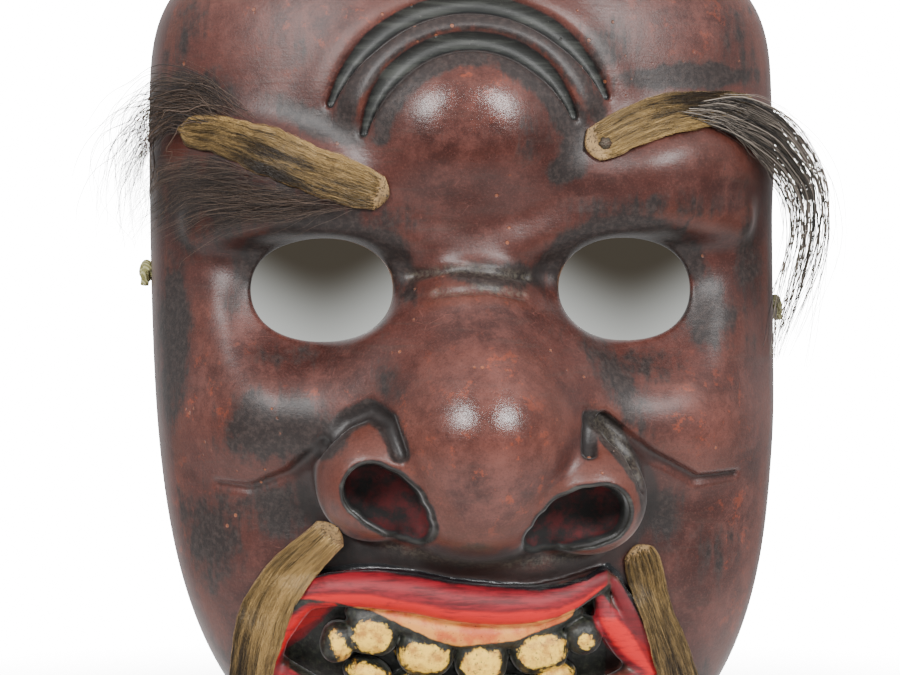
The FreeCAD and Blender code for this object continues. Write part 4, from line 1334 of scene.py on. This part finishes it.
def nail_piece(x, z):
    """Hand-made nail with a star-cut domed head, and its shank down into the wood."""
    seat = float(face.at(x, z)) + HIDE_THICKNESS + 0.1
    turns = 40
    profile = [(0.0, 1.0), (0.5, 0.98), (1.0, 0.8), (1.4, 0.42), (1.55, 0.05), (1.3, -0.2), (0.6, -0.3),
               (0.55, -6.0)]
    points = [(x, seat + 0.75, z)]
    for radius, rise in profile[1:]:
        for k in range(turns):
            angle = 2.0 * math.pi * k / turns
            lobe = 1.0 + 0.09 * math.cos(6.0 * angle) * (radius > 0.6)
            cut = 0.22 * max(0.0, math.cos(6.0 * angle)) * (0.3 < radius < 1.45)
            reach = radius * lobe
            points.append((x + reach * math.cos(angle), seat + rise - cut, z + reach * math.sin(angle)))
    points.append((x, seat - 6.3, z))
    faces = [(0, 1 + (k + 1) % turns, 1 + k) for k in range(turns)]
    faces += ring_faces(len(profile) - 1, turns, 1)
    last = 1 + (len(profile) - 2) * turns
    faces += [(last + k, last + (k + 1) % turns, len(points) - 1) for k in range(turns)]
    piece = add_piece("brow_nail_head", np.array(points), faces, IRON)
    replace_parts(piece, "brow_nail_right")


nail_piece(31.2, 155.9)


def knot_piece(name, node, x, z, outward):
    """Overhand knot in the end of the cord, with its short cut tail."""
    steps, sides, radius = 120, 12, 1.1
    t = np.linspace(0.0, 1.0, steps)
    turn = 2.0 * math.pi * 1.75 * t
    ring = 1.55 + 0.35 * np.cos(turn * 1.5)
    along = 0.3 + 1.3 * t + 0.5 * np.sin(turn * 1.5)
    line = np.stack([x + outward * along, 8.5 + ring * np.cos(turn), z + ring * np.sin(turn)], 1)
    tail = line[-1] + np.linspace(0.0, 1.0, 20)[1:, None] * np.array([outward * 0.2, 0.6, -2.2])
    line = np.concatenate([line, tail])
    run = np.gradient(line, axis=0)
    run /= np.linalg.norm(run, axis=1, keepdims=True)
    side = np.cross(run, np.array([1.0, 0.2, 0.1]))
    side /= np.linalg.norm(side, axis=1, keepdims=True)
    up = np.cross(side, run)
    points = [line + radius * (side * math.cos(a) + up * math.sin(a))
              for a in np.linspace(0.0, 2.0 * math.pi, sides, endpoint=False)]
    points = np.stack(points, 1).reshape(-1, 3)
    faces = ring_faces(len(line), sides)
    faces.append(tuple(range(sides - 1, -1, -1)))
    faces.append(tuple(range((len(line) - 1) * sides, len(line) * sides)))
    piece = add_piece(name, points, faces, FIBRE)
    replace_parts(piece, node)
    return piece


knot_left = knot_piece("knot_left", "cord_knot_left", -77.4, 127.0, -1.0)
knot_right = knot_piece("knot_right", "cord_knot_right", 80.4, 118.5, 1.0)
tie_cord.data.materials.append(FIBRE)
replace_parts(tie_cord, "tie_cord")
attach(tie_cord, "root")


# ---------------------------------------------------------------- stage

def area_light(name, place, target, size, power):
    data = bpy.data.lights.new(name, "AREA")
    data.shape = "SQUARE"
    data.size = size
    data.energy = power
    lamp = place_object(name, data)
    lamp.location = place
    lamp.rotation_euler = (Vector(target) - Vector(place)).to_track_quat("-Z", "Y").to_euler()


def stage_piece(name, corners, material):
    mesh = bpy.data.meshes.new(name)
    mesh.from_pydata(corners, [], [(0, 1, 2, 3)])
    plane = place_object(name, mesh)
    mesh.materials.append(material)


def floor_material():
    """Pale floor that fades into the white surroundings."""
    shade = Shade("pale_floor", 0.9)
    shade.set("Base Color", (0.97, 0.97, 0.96, 1.0))
    distance = shade.add("ShaderNodeVectorMath", {0: shade.place}, operation="LENGTH")
    shade.set("Alpha", shade.step(distance.outputs["Value"], 0.36, 0.08))
    return shade.material


def shade_card_material():
    """Painted shade of the wall seen through the eyes: a glowing card, grey, with a painted shadow wedge from
    the top of each eye. It shows only from the front, so the open back stays free."""
    shade = Shade("shade_card")
    parts = shade.add("ShaderNodeSeparateXYZ", {0: shade.place})
    shadows = []
    for centre in WEDGE_CENTRES:
        away = shade.math("POWER", shade.minus(parts.outputs["X"], centre), 2.0)
        away = shade.math("SQRT", shade.plus(away, WEDGE_ROUNDING))
        edge = shade.plus(shade.times(away, WEDGE_SLOPE), WEDGE_TOP)
        shadows.append(shade.step(shade.minus(parts.outputs["Z"], edge), -0.014, 0.012))
    # painted light and shadow of the wall, which the card gives out as its own glow
    colour = shade.mix(shade.math("MAXIMUM", *shadows), CARD_PAINTED_LIGHT, CARD_PAINTED_SHADOW)
    glow = shade.add("ShaderNodeEmission", {"Color": colour})
    clear = shade.add("ShaderNodeBsdfTransparent")
    behind_it = shade.add("ShaderNodeNewGeometry").outputs["Backfacing"]
    seen = shade.add("ShaderNodeLightPath").outputs["Is Camera Ray"]
    shown = shade.times(seen, shade.minus(1.0, behind_it))
    swap = shade.add("ShaderNodeMixShader", {0: shown, 1: clear.outputs[0], 2: glow.outputs[0]})
    shade.feed(shade.tree.nodes["Material Output"].inputs["Surface"], swap.outputs[0])
    return shade.material


WEDGE_CENTRES = (-0.034, 0.0443)
WEDGE_ROUNDING = 0.00006
WEDGE_SLOPE = 0.7
WEDGE_TOP = 0.111
CARD_PAINTED_LIGHT = (0.68, 0.70, 0.67, 1.0)
CARD_PAINTED_SHADOW = (0.068, 0.058, 0.044, 1.0)
FLOOR_REACH = 0.4
FLOOR_Z = -0.0062
CARD_LEFT, CARD_RIGHT = -0.062, 0.064
CARD_BOTTOM, CARD_TOP = 0.095, 0.148
CARD_Y = -0.002
stage_piece("floor", [(side * FLOOR_REACH, deep * FLOOR_REACH, FLOOR_Z)
                      for side, deep in ((-1, -1), (1, -1), (1, 1), (-1, 1))], floor_material())
stage_piece("shade_card", [(CARD_LEFT, CARD_Y, CARD_BOTTOM), (CARD_RIGHT, CARD_Y, CARD_BOTTOM),
                           (CARD_RIGHT, CARD_Y, CARD_TOP), (CARD_LEFT, CARD_Y, CARD_TOP)],
            shade_card_material())
KEY_POWER = 9.0
WORLD_BELOW = 0.25
WORLD_ABOVE = 1.0
WORLD_SEEN = 18.0
for name, side in (("key_left", -1), ("key_right", 1)):
    area_light(name, (side * 0.45, -0.85, 0.55), (0, 0, 0.11), 0.22, KEY_POWER)


def make_world():
    """White surroundings, brighter overhead than below as light on the mask."""
    world = bpy.data.worlds.new("studio")
    world.use_nodes = True
    build = NodeBuilder(world.node_tree)
    direction = build.add("ShaderNodeTexCoord").outputs["Generated"]
    height = build.add("ShaderNodeSeparateXYZ", {0: direction}).outputs["Z"]
    lit = build.add("ShaderNodeMapRange", {"Value": height, "From Min": -0.5, "From Max": 0.8,
                                           "To Min": WORLD_BELOW, "To Max": WORLD_ABOVE})
    seen = build.add("ShaderNodeLightPath").outputs["Is Camera Ray"]
    strength = build.add("ShaderNodeMapRange",
                         {"Value": seen, "To Min": lit.outputs["Result"], "To Max": WORLD_SEEN})
    background = world.node_tree.nodes["Background"]
    build.feed(background.inputs["Strength"], strength.outputs["Result"])
    background.inputs["Color"].default_value = (1.0, 1.0, 1.0, 1.0)
    bpy.context.scene.world = world


make_world()
